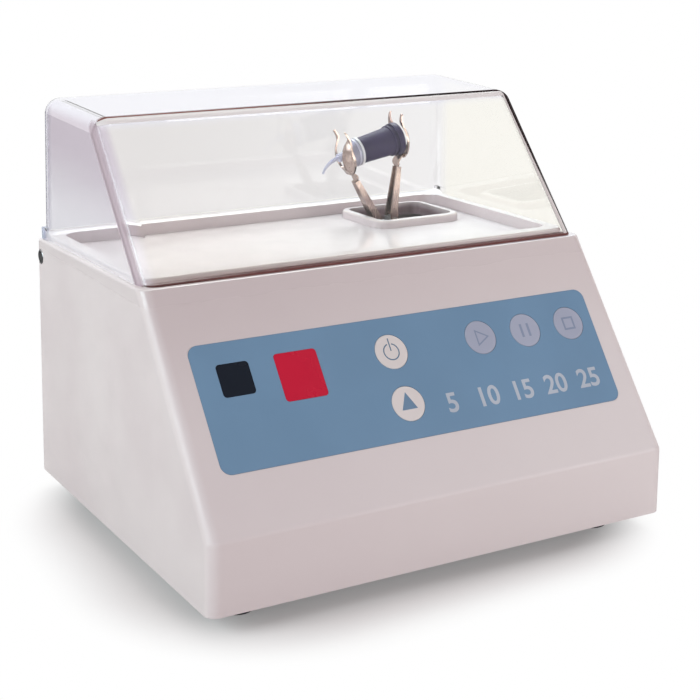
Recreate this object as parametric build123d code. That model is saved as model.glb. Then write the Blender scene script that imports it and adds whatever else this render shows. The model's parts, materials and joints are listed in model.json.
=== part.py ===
"""Dental amalgamator: a bench mixer that shakes a capsule in a spring fork under a clear hood.

Millimetres, +Z up, the operator stands on the -Y side.  The origin lies on the bench, under the
middle of the case.  One STEP file is written to parts/ for each piece.
"""
from build123d import *
from math import atan2, cos, hypot, radians, sin, sqrt, tan
import os

os.makedirs("parts", exist_ok=True)

# ------------------------------------------------------------------ driving dimensions
# Case
CASE_WIDTH = 220.0
CASE_DEPTH = 181.4
CASE_WALL = 3.0
FOOT_HEIGHT = 9.0            # bench to the case's lower edge
FRONT_WALL_HEIGHT = 29.8     # case edge to the crease under the sloping panel
FRONT_WALL_SETBACK = 0.4
PANEL_TOP_SETBACK = 63.1     # front of the case to the top of the sloping panel
DECK_FRONT_HEIGHT = 112.0    # case edge to the ledge, at the front
DECK_REAR_HEIGHT = 109.2
SIDE_DRAFT = 2.5             # each side, at the front of the deck
CASE_CORNER_R = 5.0
CREASE_R = 3.0
TOP_EDGE_R = 1.0

# Deck: a raised rim round a sunken tray, with a collar round the fork's opening
RIM_RISE = 2.4
TRAY_SIDE_INSET = 12.5       # from the case's side, front and rear
TRAY_FRONT_INSET = 75.5
TRAY_REAR_INSET = 10.4
TRAY_DEPTH = 5.1
TRAY_CORNER_R = 6.0
TRAY_FLOOR = 2.5
SLOT_TO_LEFT = 19.0          # the fork's opening, from the middle of the wobbling bearing
SLOT_TO_RIGHT = 21.6
SLOT_TO_FRONT = 17.1
SLOT_TO_REAR = 16.3
SLOT_CORNER_R = 4.5
COLLAR_WIDTH = 3.4
COLLAR_RISE = 3.6

# Hood
HOOD_WALL = 2.0
HOOD_INSET = 2.0             # case edge to the hood's foot, at the sides
HOOD_FRONT_INSET = 1.4
HOOD_LEAN = 1.8              # each side wall, foot to top
HOOD_FRONT_TOP = 115.9       # from the front of the case
HOOD_FRONT_RISE = 58.9       # above the ledge's front and rear ends
HOOD_REAR_RISE = 63.1
HOOD_REAR_TOP_INSET = 3.3
HOOD_REAR_FOOT_INSET = 2.8
HOOD_CORNER_R = 7.0
HOOD_GAP = 0.25              # hood's foot to the ledge
RIM_GAP = 0.4                # hood's wall to the rim

# Hood hinge
HINGE_FROM_REAR = 6.0
HINGE_DROP = 7.74            # ledge to the hinge axis
HINGE_ROLL_R = 11.3          # rounded rear edge of the deck, round the hinge axis
HINGE_ROLL_GAP = 0.4
EAR_R = 5.6
EAR_GAP = 0.3
PIN_R = 2.0
PIN_HEAD_R = 3.2
PIN_HEAD_LENGTH = 1.4
PIN_HEAD_EDGE_R = 0.4
PIN_CLEARANCE = 0.05
HINGE_BLOCK_WIDTH = 5.2

# Control panel, measured on the slope: x across, s up from the crease
PANEL_SIDE_MARGIN = 14.0
PANEL_LOW = 25.0
PANEL_HIGH = 78.0
PANEL_CORNER_R = 4.5
PANEL_SHEET = 0.6
PANEL_PROUD = 0.1
SEAT_GAP = 0.1               # round the sheet and each window
KEY_R = 7.5
KEY_GAP = 0.15
KEY_DISC = 1.4
KEY_FLANGE = 0.8             # skirt that the membrane sheet holds down
KEY_PROUD = 0.15
KEY_TRAVEL = 0.5
KEY_STEM_R = 1.6
KEY_STEM_GAP = 0.3
KEY_LEFT_X = -8.0
KEY_UPPER_S = 63.0
KEY_LOWER_S = 40.1
KEY_ROW_END = 12.9           # last key of the row, from the sheet's right end
KEY_ROW_PITCH = 23.35
DISPLAY_FROM_LEFT = 44.7     # from the sheet's left end
DISPLAY_S = 59.6
DISPLAY_WIDTH = 19.0
DISPLAY_HEIGHT = 20.2
INDICATOR_FROM_LEFT = 16.8
INDICATOR_S = 62.1
INDICATOR_WIDTH = 14.0
INDICATOR_HEIGHT = 13.6
WINDOW_CORNER_R = 1.5
WINDOW_FLANGE = 2.0
WINDOW_FLANGE_THICK = 1.0

# Control board
BOARD_DEPTH = 10.5           # panel face to the board's face
BOARD_THICK = 1.6
BOARD_OVERHANG = 1.0         # beyond the sheet's ends
BOARD_LOW = 27.0
BOARD_HIGH = 76.0
BOARD_BOSS_R = 3.5
BOARD_SCREW_R = 1.5
BOARD_SCREW_EDGE = 4.5
BOARD_MID_SCREW_X = 14.0
SWITCH_SIDE = 6.0
SWITCH_HEIGHT = 4.0
UNIT_INSET = 0.6             # display block inside its window's outline
UNIT_CORNER_R = 0.8
UNIT_GAP = 0.3               # display and lamp to the windows' flanges
LAMP_SIDE = 8.0
CHIP_SIDE = 14.0
CHIP_THICK = 1.6
CHIP_CORNER_R = 0.5
DRIVER_WIDTH = 10.0
DRIVER_HEIGHT = 6.0
PLUG_WIDTH = 30.0
PLUG_SIDE = 8.0

# Fork drive
SHAFT_FROM_SIDE = 48.1       # centre of the wobbling bearing
SHAFT_FROM_REAR = 33.4
SHAFT_DROP = 34.99           # under the ledge
SHAFT_R = 4.0
WOBBLE = 12.3                # degrees between the shaft and the oblique sleeve
RUNNING_GAP = 0.06
SLEEVE_LENGTH = 15.0
SLEEVE_FLANGE_R = 12.0
SLEEVE_FLANGE = 2.0
BEARING_BORE_R = 10.0
BEARING_OUTER_R = 18.5
BEARING_WIDTH = 9.0
BEARING_RING = 2.6
BALL_R = 2.4
BALL_COUNT = 9
BALL_GAP = 0.08
CAGE_THICK = 1.2
CAGE_WIDTH = 6.4
HUB_OUTER_R = 22.5
HUB_WIDTH = 11.0

# Fork: measured in the fork's own frame, up from the shaft and out from its middle
ARM_FOOT = 24.0
ARM_BEND = 35.0
ARM_TOP = 56.0
ARM_REACH = 6.4              # outer face of each arm's parallel foot
ARM_SPLAY = 17.3             # degrees, above the bend
ARM_FOOT_DEPTH = 4.6
ARM_TOP_DEPTH = 2.4
ARM_FOOT_WIDTH = 6.8
ARM_TOP_WIDTH = 4.0
ARM_SHEET = 0.8
TANG_ROOT = 19.0
TANG_TOP = 34.0
RIVET_R = 1.0
RIVET_HEAD_R = 1.8
RIVET_HEAD = 0.7
JAW_SHEET = 0.8
JAW_STEM_FOOT = 42.0
JAW_STEM_BEND = 55.5
JAW_NECK_HEIGHT = 58.4
JAW_NECK_REACH = 11.5
JAW_STEM_WIDTH = 2.4         # inside the arm's channel
JAW_NECK_WIDTH = 5.2
JAW_DISH_R = {-1: 11.6, 1: 9.8}         # inner radius of each jaw's dish, left and right
JAW_DISH_CENTRE = {-1: 6.0, 1: 8.8}     # out from the fork's middle
JAW_DISH_RIM = {-1: 8.2, 1: 6.6}        # from the capsule's axis
JAW_LIP_REACH = {-1: 15.2, 1: 15.7}     # inner face at the tips
JAW_DISH_FOOT = 7.5          # stem's end on the dish, under the capsule's axis
JAW_HALF_WIDTH = 8.1
JAW_LIP_HALF_WIDTH = 5.6
JAW_TIP = 12.2               # above the capsule's axis
JAW_TIP_R = 1.0
JAW_SLOT = 5.0
JAW_SLOT_TOP = 6.6

# Capsule
CAPSULE_HEIGHT = 69.6        # above the shaft, in the fork's frame
CAPSULE_RIGHT = 14.4
CAPSULE_LEFT = -7.5          # joint between body and cap
CAPSULE_BODY_R = 7.0
CAPSULE_BODY_LEFT_R = 6.1
CAPSULE_FLANGE_R = 7.8
CAPSULE_FLANGE_WIDTH = 3.0
CAPSULE_RIB_R = 7.4
CAPSULE_RIB_RIGHT = 10.2
CAPSULE_RIB_WIDTH = 1.0
CAPSULE_GAP = 0.3
CAPSULE_RING_R = 6.7
CAPSULE_RING_WIDTH = 1.1
CAP_SHOULDER = -10.6
CAP_SHOULDER_R = 6.1
CAP_BEND = -12.6
CAP_BEND_R = 5.2
CAP_END = -14.4
CAP_END_R = 3.2
CAP_RIB_R = 6.6
CAP_RIB_WIDTH = 0.9
CAPSULE_NECK_R = 2.1
CAPSULE_NECK_END = -18.6
NOZZLE_ROOT_R = 1.1
NOZZLE_TIP_R = 0.5
NOZZLE_MIDDLE = (-23.2, -1.0)           # along the fork's own x and up from the capsule's axis
NOZZLE_TIP = (-28.0, -5.0)
NOZZLE_STATIONS = 5

# Motor and its cradle
MOTOR_R = 27.0
MOTOR_LENGTH = 76.0
MOTOR_TO_SHAFT_CENTRE = 35.9
MOTOR_BOSS_R = 9.0
MOTOR_BOSS = 4.0
MOTOR_CAP = 8.0
MOTOR_CAP_HOLLOW = 3.5
MOTOR_CAN_WALL = 1.6
MOTOR_VENTS = 10
STATOR_BORE_R = 17.0
STATOR_SLOTS = 12
ROTOR_GAP = 0.5
ROTOR_LENGTH = 40.0
ROTOR_SLOTS = 11
MOTOR_SCREW_CIRCLE_R = 18.0
CRADLE_SHEET = 2.5
CRADLE_FLANGE = 9.0
CRADLE_FLOOR = 15.0          # above the case edge
CRADLE_SHORTFALL = 4.0       # motor's rear end to the cradle's
CRADLE_HALF_WIDTH = 29.5
OUTBOARD_FROM_CENTRE = 28.1
SPRING_Y = 17.5              # each spring, to the front and rear of the shaft
SPRING_R = 2.9
SPRING_WIRE = 0.6
SPRING_TURNS = 6
SPRING_POST = 5.0
SPRING_LUG = 6.0
SPRING_LUG_TOP = -13.0       # below the shaft, in the fork's frame
BUSH_R = 7.0
BUSH_LENGTH = 7.5
MOUNT_R = 7.0

# Base plate and feet
BASE_SHEET = 2.0
BASE_RECESS = 1.0
BASE_GAP = 0.5
BASE_CORNER_R = 3.0
FOOT_SIDE_INSET = 22.0
FOOT_END_INSET = 22.7
FOOT_TOP_R = 10.0
FOOT_BOTTOM_R = 8.5
FOOT_BAND = 2.0              # straight band under the base plate
FOOT_EDGE = 0.8
FOOT_SEAT = 4.5              # bench to the screw head's seat
FOOT_WELL_R = 4.2
FOOT_SCREW_R = 2.0
FOOT_HEAD_R = 3.8
FOOT_NUT = 3.2
POST_R = 4.5
POST_HEIGHT = 26.0
POST_END_INSET = 12.7
SCREW_R = 1.5
SCREW_HEAD_R = 2.9
SCREW_SINK_R = 2.6
SCREW_HEAD = 1.2
VENT_WIDTH = 3.0
VENT_LENGTH = 26.0
VENT_PITCH = 7.0
VENT_COUNT = 8

# Mains inlet in the rear wall
INLET_FROM_SIDE = 42.0
INLET_HEIGHT = 30.0          # above the case edge
INLET_FLANGE_WIDTH = 50.0
INLET_FLANGE_HEIGHT = 32.0
INLET_FLANGE = 2.4
INLET_GAP = 0.2
INLET_BODY_WIDTH = 30.0
INLET_BODY_HEIGHT = 28.0
INLET_BODY_DEPTH = 26.0
INLET_SCREW_PITCH = 40.0
SOCKET_WIDTH = 24.2
SOCKET_HEIGHT = 15.6
SOCKET_DEPTH = 17.0
SOCKET_RAISE = 4.2
SOCKET_CHAMFER = 4.2
PIN_INSET = 3.5              # pins' tips from the flange's face
PIN_PITCH = 7.0
PIN_RISE = 2.0               # earth pin above the socket's middle, the other two as far below
PIN_THICK = 2.0
DRAWER_WIDTH = 22.0
DRAWER_HEIGHT = 6.4
DRAWER_LENGTH = 20.0
DRAWER_GAP = 0.2
DRAWER_DROP = 9.2
FUSE_R = 2.5
FUSE_LENGTH = 17.0
FUSE_ROOM = 0.5              # before and behind the fuse
NOTCH_WIDTH = 10.0
NOTCH_DEPTH = 1.2
NOTCH_HEIGHT = 1.8

# Power supply
TRANSFORMER_FROM_SIDE = 36.0
TRANSFORMER_GAP = 1.0        # to the motor's cradle
TRANSFORMER_WIDTH = 48.0
TRANSFORMER_DEPTH = 34.0
TRANSFORMER_HEIGHT = 40.0
SUPPLY_FROM_SIDE = 58.0
SUPPLY_FROM_FRONT = 38.7
SUPPLY_WIDTH = 60.0
SUPPLY_DEPTH = 46.0
SUPPLY_STANDOFF = 5.0
SUPPLY_SCREW_EDGE = 4.0
STANDOFF_R = 3.0
CAPACITOR_R = 8.0
CAPACITOR_HEIGHT = 22.0
CAPACITOR_SPREAD = 9.5       # either side of the board's middle
CAPACITOR_TO_MIDDLE = 18.0
SINK_TO_MIDDLE = 14.0
SINK_WIDTH = 24.0
SINK_BASE = 3.0
SINK_HEIGHT = 18.0
SINK_FIN = 1.6
SINK_PITCH = 4.6
SINK_FINS = 5

# ------------------------------------------------------------------ derived places
FRONT = -CASE_DEPTH / 2
REAR = CASE_DEPTH / 2
HALF = CASE_WIDTH / 2
LONG = 2 * CASE_WIDTH                      # longer than anything it has to cut
UNIT_FACE = -CASE_WALL - WINDOW_FLANGE_THICK - UNIT_GAP
TRAY_HALF_WIDTH = HALF - TRAY_SIDE_INSET
PANEL_HALF_WIDTH = HALF - PANEL_SIDE_MARGIN
BOARD_HALF_WIDTH = PANEL_HALF_WIDTH + BOARD_OVERHANG
DISPLAY_X = DISPLAY_FROM_LEFT - PANEL_HALF_WIDTH
INDICATOR_X = INDICATOR_FROM_LEFT - PANEL_HALF_WIDTH
KEY_ROW_X = PANEL_HALF_WIDTH - KEY_ROW_END - 2 * KEY_ROW_PITCH
SHAFT_X = HALF - SHAFT_FROM_SIDE
SHAFT_Y = REAR - SHAFT_FROM_REAR
MOTOR_FACE_X = SHAFT_X - MOTOR_TO_SHAFT_CENTRE
CRADLE_LEFT = MOTOR_FACE_X - MOTOR_LENGTH + CRADLE_SHORTFALL
OUTBOARD_X = SHAFT_X + OUTBOARD_FROM_CENTRE
INLET_X = INLET_FROM_SIDE - HALF
TRANSFORMER_X = TRANSFORMER_FROM_SIDE - HALF
TRANSFORMER_Y = SHAFT_Y - CRADLE_HALF_WIDTH - TRANSFORMER_GAP - TRANSFORMER_DEPTH / 2
SUPPLY_X = SUPPLY_FROM_SIDE - HALF
SUPPLY_Y = FRONT + SUPPLY_FROM_FRONT


def from_front(distance):
    return FRONT + distance


def above_edge(height):
    return FOOT_HEIGHT + height


CREASE = (FRONT + FRONT_WALL_SETBACK, above_edge(FRONT_WALL_HEIGHT))
LEDGE_FRONT = (from_front(PANEL_TOP_SETBACK), above_edge(DECK_FRONT_HEIGHT))
LEDGE_REAR = (REAR, above_edge(DECK_REAR_HEIGHT))
LEDGE_SLOPE = (LEDGE_REAR[1] - LEDGE_FRONT[1]) / (LEDGE_REAR[0] - LEDGE_FRONT[0])
DRAFT = SIDE_DRAFT / DECK_FRONT_HEIGHT
HINGE_Y = REAR - HINGE_FROM_REAR
HOOD_HALF = HALF - SIDE_DRAFT - HOOD_INSET
HOOD_FRONT = from_front(PANEL_TOP_SETBACK + HOOD_FRONT_INSET)
RIM_HALF = HOOD_HALF - HOOD_WALL - RIM_GAP
TRAY_TOP_TO_FLOOR = RIM_RISE - TRAY_DEPTH   # tray floor against the ledge, negative below it
BASE_LOW = FOOT_HEIGHT + BASE_RECESS
BASE_TOP = BASE_LOW + BASE_SHEET


def ledge_z(y):
    """Height of the sloping ledge that the hood stands on."""
    return LEDGE_FRONT[1] + LEDGE_SLOPE * (y - LEDGE_FRONT[0])


HINGE_Z = ledge_z(HINGE_Y) - HINGE_DROP
SHAFT_Z = ledge_z(SHAFT_Y) - SHAFT_DROP
HOOD_TOP_FRONT = (from_front(HOOD_FRONT_TOP), above_edge(DECK_FRONT_HEIGHT) + HOOD_FRONT_RISE)
HOOD_TOP_REAR = (REAR - HOOD_REAR_TOP_INSET, above_edge(DECK_REAR_HEIGHT) + HOOD_REAR_RISE)
HOOD_FOOT_REAR_Y = REAR - HOOD_REAR_FOOT_INSET
SLOPE_RISE = (LEDGE_FRONT[0] - CREASE[0], LEDGE_FRONT[1] - CREASE[1])
SLOPE_LENGTH = hypot(*SLOPE_RISE)
SLOPE_UP = (0, SLOPE_RISE[0] / SLOPE_LENGTH, SLOPE_RISE[1] / SLOPE_LENGTH)
SLOPE_OUT = (0, -SLOPE_UP[2], SLOPE_UP[1])
PANEL = Plane(origin=(0, *CREASE), x_dir=(1, 0, 0), z_dir=SLOPE_OUT)
DECK = Plane(origin=(0, 0, ledge_z(0)), x_dir=(1, 0, 0), z_dir=(0, -LEDGE_SLOPE, 1))
DECK_COS = 1 / hypot(1, LEDGE_SLOPE)
FORK = Plane(
    origin=(SHAFT_X, SHAFT_Y, SHAFT_Z),
    x_dir=(cos(radians(WOBBLE)), 0, sin(radians(WOBBLE))),
    z_dir=(-sin(radians(WOBBLE)), 0, cos(radians(WOBBLE))),
)
KEYS = {
    "key_power": (KEY_LEFT_X, KEY_UPPER_S),
    "key_select": (KEY_LEFT_X, KEY_LOWER_S),
    "key_start": (KEY_ROW_X, KEY_UPPER_S),
    "key_pause": (KEY_ROW_X + KEY_ROW_PITCH, KEY_UPPER_S),
    "key_stop": (KEY_ROW_X + 2 * KEY_ROW_PITCH, KEY_UPPER_S),
}
BOARD_SCREWS = [
    (side * (BOARD_HALF_WIDTH - BOARD_SCREW_EDGE), s)
    for side in (-1, 1)
    for s in (BOARD_LOW + BOARD_SCREW_EDGE, BOARD_HIGH - BOARD_SCREW_EDGE)
] + [(BOARD_MID_SCREW_X, BOARD_LOW + BOARD_SCREW_EDGE)]
FEET = [(i * (HALF - FOOT_SIDE_INSET), j * (REAR - FOOT_END_INSET)) for i in (-1, 1) for j in (-1, 1)]
POST_X = HALF - CASE_WALL - POST_R + 0.8
POSTS = [(i * POST_X, j * (REAR - POST_END_INSET)) for i in (-1, 1) for j in (-1, 1)]


# ------------------------------------------------------------------ small helpers
def block(x0, x1, y0, y1, z0, z1):
    """A box given by its corners."""
    middle = Pos((x0 + x1) / 2, (y0 + y1) / 2, (z0 + z1) / 2)
    return middle * Box(x1 - x0, y1 - y0, z1 - z0)


def rod(radius, start, end):
    """A cylinder from one point to another."""
    a, b = Vector(*start), Vector(*end)
    return extrude(Plane(origin=a, z_dir=b - a) * Circle(radius), amount=(b - a).length)


def side_prism(points, half_width):
    """A YZ outline pulled out to both sides of the middle."""
    outline = Plane.YZ * make_face(Polyline(*points, close=True))
    return extrude(outline, amount=half_width, both=True)


def rounded(plane, x0, x1, y0, y1, radius, low, high):
    """A rounded rectangle on a plane, pulled from low to high along its normal."""
    middle = Pos((x0 + x1) / 2, (y0 + y1) / 2, low)
    return extrude(plane * middle * RectangleRounded(x1 - x0, y1 - y0, radius), amount=high - low)


def disc(plane, x, y, radius, low, high):
    return extrude(plane * Pos(x, y, low) * Circle(radius), amount=high - low)


def edges_at(shape, test):
    """The edges whose middle point passes a test."""
    return [edge for edge in shape.edges() if test(edge.position_at(0.5), edge)]


# ------------------------------------------------------------------ case
def case_form(inset, radius):
    """The case's outer form, or the same form with every face moved inwards."""
    front = FRONT + inset
    slope = inset / SLOPE_UP[2]
    crease_y = CREASE[0] + inset
    crease_z = CREASE[1] + (inset - slope) * SLOPE_UP[2] / SLOPE_UP[1]
    top_z = ledge_z(0) - inset / DECK_COS
    top = lambda y: top_z + LEDGE_SLOPE * y
    run = SLOPE_UP[1] / SLOPE_UP[2]
    reach = (top(crease_y) - crease_z) * run / (1 - LEDGE_SLOPE * run)
    front_top = crease_y + reach
    side = side_prism(
        [
            (front, FOOT_HEIGHT),
            (crease_y, crease_z),
            (front_top, top(front_top)),
            (REAR - inset, top(REAR - inset)),
            (REAR - inset, FOOT_HEIGHT),
        ],
        HALF,
    )
    height = above_edge(DECK_FRONT_HEIGHT) + RIM_RISE - FOOT_HEIGHT
    foot, head = HALF - inset, HALF - inset - DRAFT * height
    ends = Plane.XZ * make_face(
        Polyline((-foot, FOOT_HEIGHT), (foot, FOOT_HEIGHT), (head, FOOT_HEIGHT + height),
                 (-head, FOOT_HEIGHT + height), close=True)
    )
    form = side & extrude(ends, amount=LONG, both=True)
    upright = edges_at(form, lambda p, e: abs(p.X) > foot - 2 * SIDE_DRAFT and p.Z > FOOT_HEIGHT + 1
                       and abs(p.Z - top(p.Y)) > 1)
    return fillet(upright, radius) if radius > 0 else form


def rim():
    """The raised plinth inside the hood's foot."""
    front = HOOD_FRONT + (HOOD_WALL + RIM_GAP) / cos(hood_front_angle()) + RIM_RISE * tan(hood_front_angle())
    length = (HINGE_Y - front) / DECK_COS
    plinth = rounded(DECK, -RIM_HALF, RIM_HALF, front / DECK_COS, front / DECK_COS + length,
                     HOOD_CORNER_R - HOOD_WALL, -CASE_WALL, RIM_RISE)
    tail = block(-RIM_HALF, RIM_HALF, HINGE_Y - 2 * HINGE_ROLL_R, REAR, HINGE_Z, LONG)
    roll = rod(HINGE_ROLL_R, (-RIM_HALF, HINGE_Y, HINGE_Z), (RIM_HALF, HINGE_Y, HINGE_Z))
    return fillet(edges_at(plinth, lambda p, e: DECK.to_local_coords(p).Z > RIM_RISE - 0.1), TOP_EDGE_R) + (
        roll & tail)


def hood_front_angle():
    """Lean of the hood's front pane from the vertical, in radians."""
    return atan2(HOOD_TOP_FRONT[0] - HOOD_FRONT, HOOD_TOP_FRONT[1] - ledge_z(HOOD_FRONT))


def tray(grow, low, high):
    """The sunken tray's space, grown in plan for its own wall."""
    half = TRAY_HALF_WIDTH + grow
    front, rear = from_front(TRAY_FRONT_INSET) - grow, REAR - TRAY_REAR_INSET + grow
    return rounded(DECK, -half, half, front, rear, TRAY_CORNER_R + grow, low, high)


def fork_slot(grow, low, high):
    """The opening that the fork swings in, grown in plan for its collar."""
    left, right = SHAFT_X - SLOT_TO_LEFT - grow, SHAFT_X + SLOT_TO_RIGHT + grow
    front, rear = SHAFT_Y - SLOT_TO_FRONT - grow, SHAFT_Y + SLOT_TO_REAR + grow
    return rounded(DECK, left, right, front, rear, SLOT_CORNER_R + grow, low, high)


def ear_slot(side):
    """The slot, open to the rear, in which one of the hood's ears turns."""
    inner, outer = HOOD_HALF - HOOD_WALL - EAR_GAP, HOOD_HALF + EAR_GAP
    sill = HINGE_Z - (HOOD_FOOT_REAR_Y - HINGE_Y) - 3 * EAR_GAP
    x0, x1 = sorted((side * inner, side * outer))
    run = block(x0, x1, HINGE_Y, LONG, sill, LONG)
    well = block(x0, x1, HINGE_Y - EAR_R - EAR_GAP, HINGE_Y, HINGE_Z, LONG)
    return run + well + rod(EAR_R + EAR_GAP, (x0, HINGE_Y, HINGE_Z), (x1, HINGE_Y, HINGE_Z))


def case():
    """Moulded case: sloping front, sunken deck, hinge slots, panel seat, posts and vents."""
    shell = case_form(0, CASE_CORNER_R)
    crease = edges_at(shell, lambda p, e: abs(p.Y - CREASE[0]) < 0.5 and abs(p.Z - CREASE[1]) < 0.5
                      and e.length > HALF)
    shell = fillet(crease, CREASE_R)
    rim_edges = edges_at(shell, lambda p, e: abs(p.Z - ledge_z(p.Y)) < 0.05)
    shell = fillet(rim_edges, TOP_EDGE_R)
    shell += rim() & block(-HALF, HALF, FRONT, REAR, FOOT_HEIGHT, LONG)
    hollow = case_form(CASE_WALL, CASE_CORNER_R - CASE_WALL)
    floor = TRAY_TOP_TO_FLOOR
    hollow -= tray(TRAY_FLOOR, floor - TRAY_FLOOR, RIM_RISE)
    for side in (-1, 1):
        x0, x1 = sorted((side * HALF, side * (HOOD_HALF - HOOD_WALL - EAR_GAP - HINGE_BLOCK_WIDTH)))
        hollow -= block(x0, x1, HINGE_Y - 2 * EAR_R, REAR, HINGE_Z - 2 * EAR_R, LONG)
    shell -= hollow
    shell += collar_form()
    shell -= tray(0, floor, LONG) - collar_form()
    shell -= fork_slot(0, -LONG / 4, LONG / 4)
    for side in (-1, 1):
        shell -= ear_slot(side)
        shell -= pin_bore(side)
    shell += case_posts()
    shell -= panel_cuts()
    shell += board_bosses()
    shell -= rear_cuts()
    return shell


def collar_form():
    """Rounded collar that keeps spills out of the fork's opening."""
    floor = TRAY_TOP_TO_FLOOR
    form = fork_slot(COLLAR_WIDTH, floor - TRAY_FLOOR, floor + COLLAR_RISE)
    top = edges_at(form, lambda p, e: abs(DECK.to_local_coords(p).Z - floor - COLLAR_RISE) < 0.05)
    return fillet(top, COLLAR_WIDTH / 2 - 0.2)


def pin_bore(side):
    """Stepped bore for a hinge pin, from the case's side."""
    inner = HOOD_HALF - HOOD_WALL - EAR_GAP - HINGE_BLOCK_WIDTH + 1
    outer = pin_outer_x()
    through = rod(PIN_R, (side * inner, HINGE_Y, HINGE_Z), (side * HALF, HINGE_Y, HINGE_Z))
    sink = rod(PIN_HEAD_R + 0.3, (side * outer, HINGE_Y, HINGE_Z), (side * (HALF + 1), HINGE_Y, HINGE_Z))
    return through + sink


def pin_outer_x():
    """Where a pin's head seats, just outside the ear's slot."""
    return HOOD_HALF + EAR_GAP + 0.6


def case_posts():
    """Screw posts for the base plate, moulded onto the side walls."""
    posts = Part()
    for x, y in POSTS:
        side = 1 if x > 0 else -1
        foot, head = BASE_TOP, BASE_TOP + POST_HEIGHT
        x0, x1 = sorted((x, side * (HALF - CASE_WALL / 2 - DRAFT * (head - FOOT_HEIGHT))))
        web = block(x0, x1, y - 1.2, y + 1.2, foot, head)
        posts += rod(POST_R, (x, y, foot), (x, y, head)) + web
    for x, y in POSTS:
        posts -= rod(SCREW_R, (x, y, BASE_TOP - 1), (x, y, BASE_TOP + POST_HEIGHT - 4))
    return posts


def panel_cuts():
    """Seat for the membrane sheet, key pockets and stem holes, and both window cut-outs."""
    sheet_depth = PANEL_SHEET - PANEL_PROUD
    half = PANEL_HALF_WIDTH + SEAT_GAP
    cuts = rounded(PANEL, -half, half, PANEL_LOW - SEAT_GAP, PANEL_HIGH + SEAT_GAP, PANEL_CORNER_R,
                   -sheet_depth, 1)
    pocket = KEY_PROUD - KEY_DISC - KEY_TRAVEL - KEY_GAP
    for x, s in KEYS.values():
        cuts += disc(PANEL, x, s, KEY_R + KEY_FLANGE + KEY_GAP, pocket, 1)
        cuts += disc(PANEL, x, s, KEY_STEM_R + KEY_STEM_GAP, -CASE_WALL - 1, 1)
    cuts += window_cut(DISPLAY_X, DISPLAY_S, DISPLAY_WIDTH, DISPLAY_HEIGHT)
    cuts += window_cut(INDICATOR_X, INDICATOR_S, INDICATOR_WIDTH, INDICATOR_HEIGHT)
    return cuts


def window_cut(x, s, width, height):
    half_w, half_h = width / 2 + SEAT_GAP, height / 2 + SEAT_GAP
    return rounded(PANEL, x - half_w, x + half_w, s - half_h, s + half_h, WINDOW_CORNER_R + SEAT_GAP,
                   -CASE_WALL - 1, 1)


def board_bosses():
    """Bosses behind the panel that carry the control board."""
    bosses = Part()
    for x, s in BOARD_SCREWS:
        bosses += disc(PANEL, x, s, BOARD_BOSS_R, -BOARD_DEPTH, -CASE_WALL)
        bosses -= disc(PANEL, x, s, BOARD_SCREW_R, -BOARD_DEPTH - 1, -CASE_WALL - 1)
    return bosses


def rear_cuts():
    """Cooling slots and the mains inlet's seat in the rear wall."""
    z = above_edge(INLET_HEIGHT)
    half_w, half_h = INLET_FLANGE_WIDTH / 2 + INLET_GAP, INLET_FLANGE_HEIGHT / 2 + INLET_GAP
    cuts = block(INLET_X - half_w, INLET_X + half_w, REAR - INLET_FLANGE, LONG, z - half_h, z + half_h)
    half_w, half_h = INLET_BODY_WIDTH / 2 + INLET_GAP, INLET_BODY_HEIGHT / 2 + INLET_GAP
    cuts += block(INLET_X - half_w, INLET_X + half_w, REAR - 2 * CASE_WALL, LONG, z - half_h, z + half_h)
    for x in inlet_screw_xs():
        cuts += rod(SCREW_R, (x, REAR - 4 * CASE_WALL, z), (x, REAR + 1, z))
    for column in range(VENT_COUNT):
        x = SHAFT_X - 2 * VENT_PITCH + (column - VENT_COUNT / 2) * VENT_PITCH
        slot = Plane.XZ * Pos(x, SHAFT_Z - VENT_LENGTH) * SlotOverall(VENT_LENGTH, VENT_WIDTH, rotation=90)
        cuts += extrude(Pos(0, REAR - 2 * CASE_WALL, 0) * slot, amount=-3 * CASE_WALL)
    return cuts


def inlet_screw_xs():
    return [INLET_X - INLET_SCREW_PITCH / 2, INLET_X + INLET_SCREW_PITCH / 2]


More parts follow.
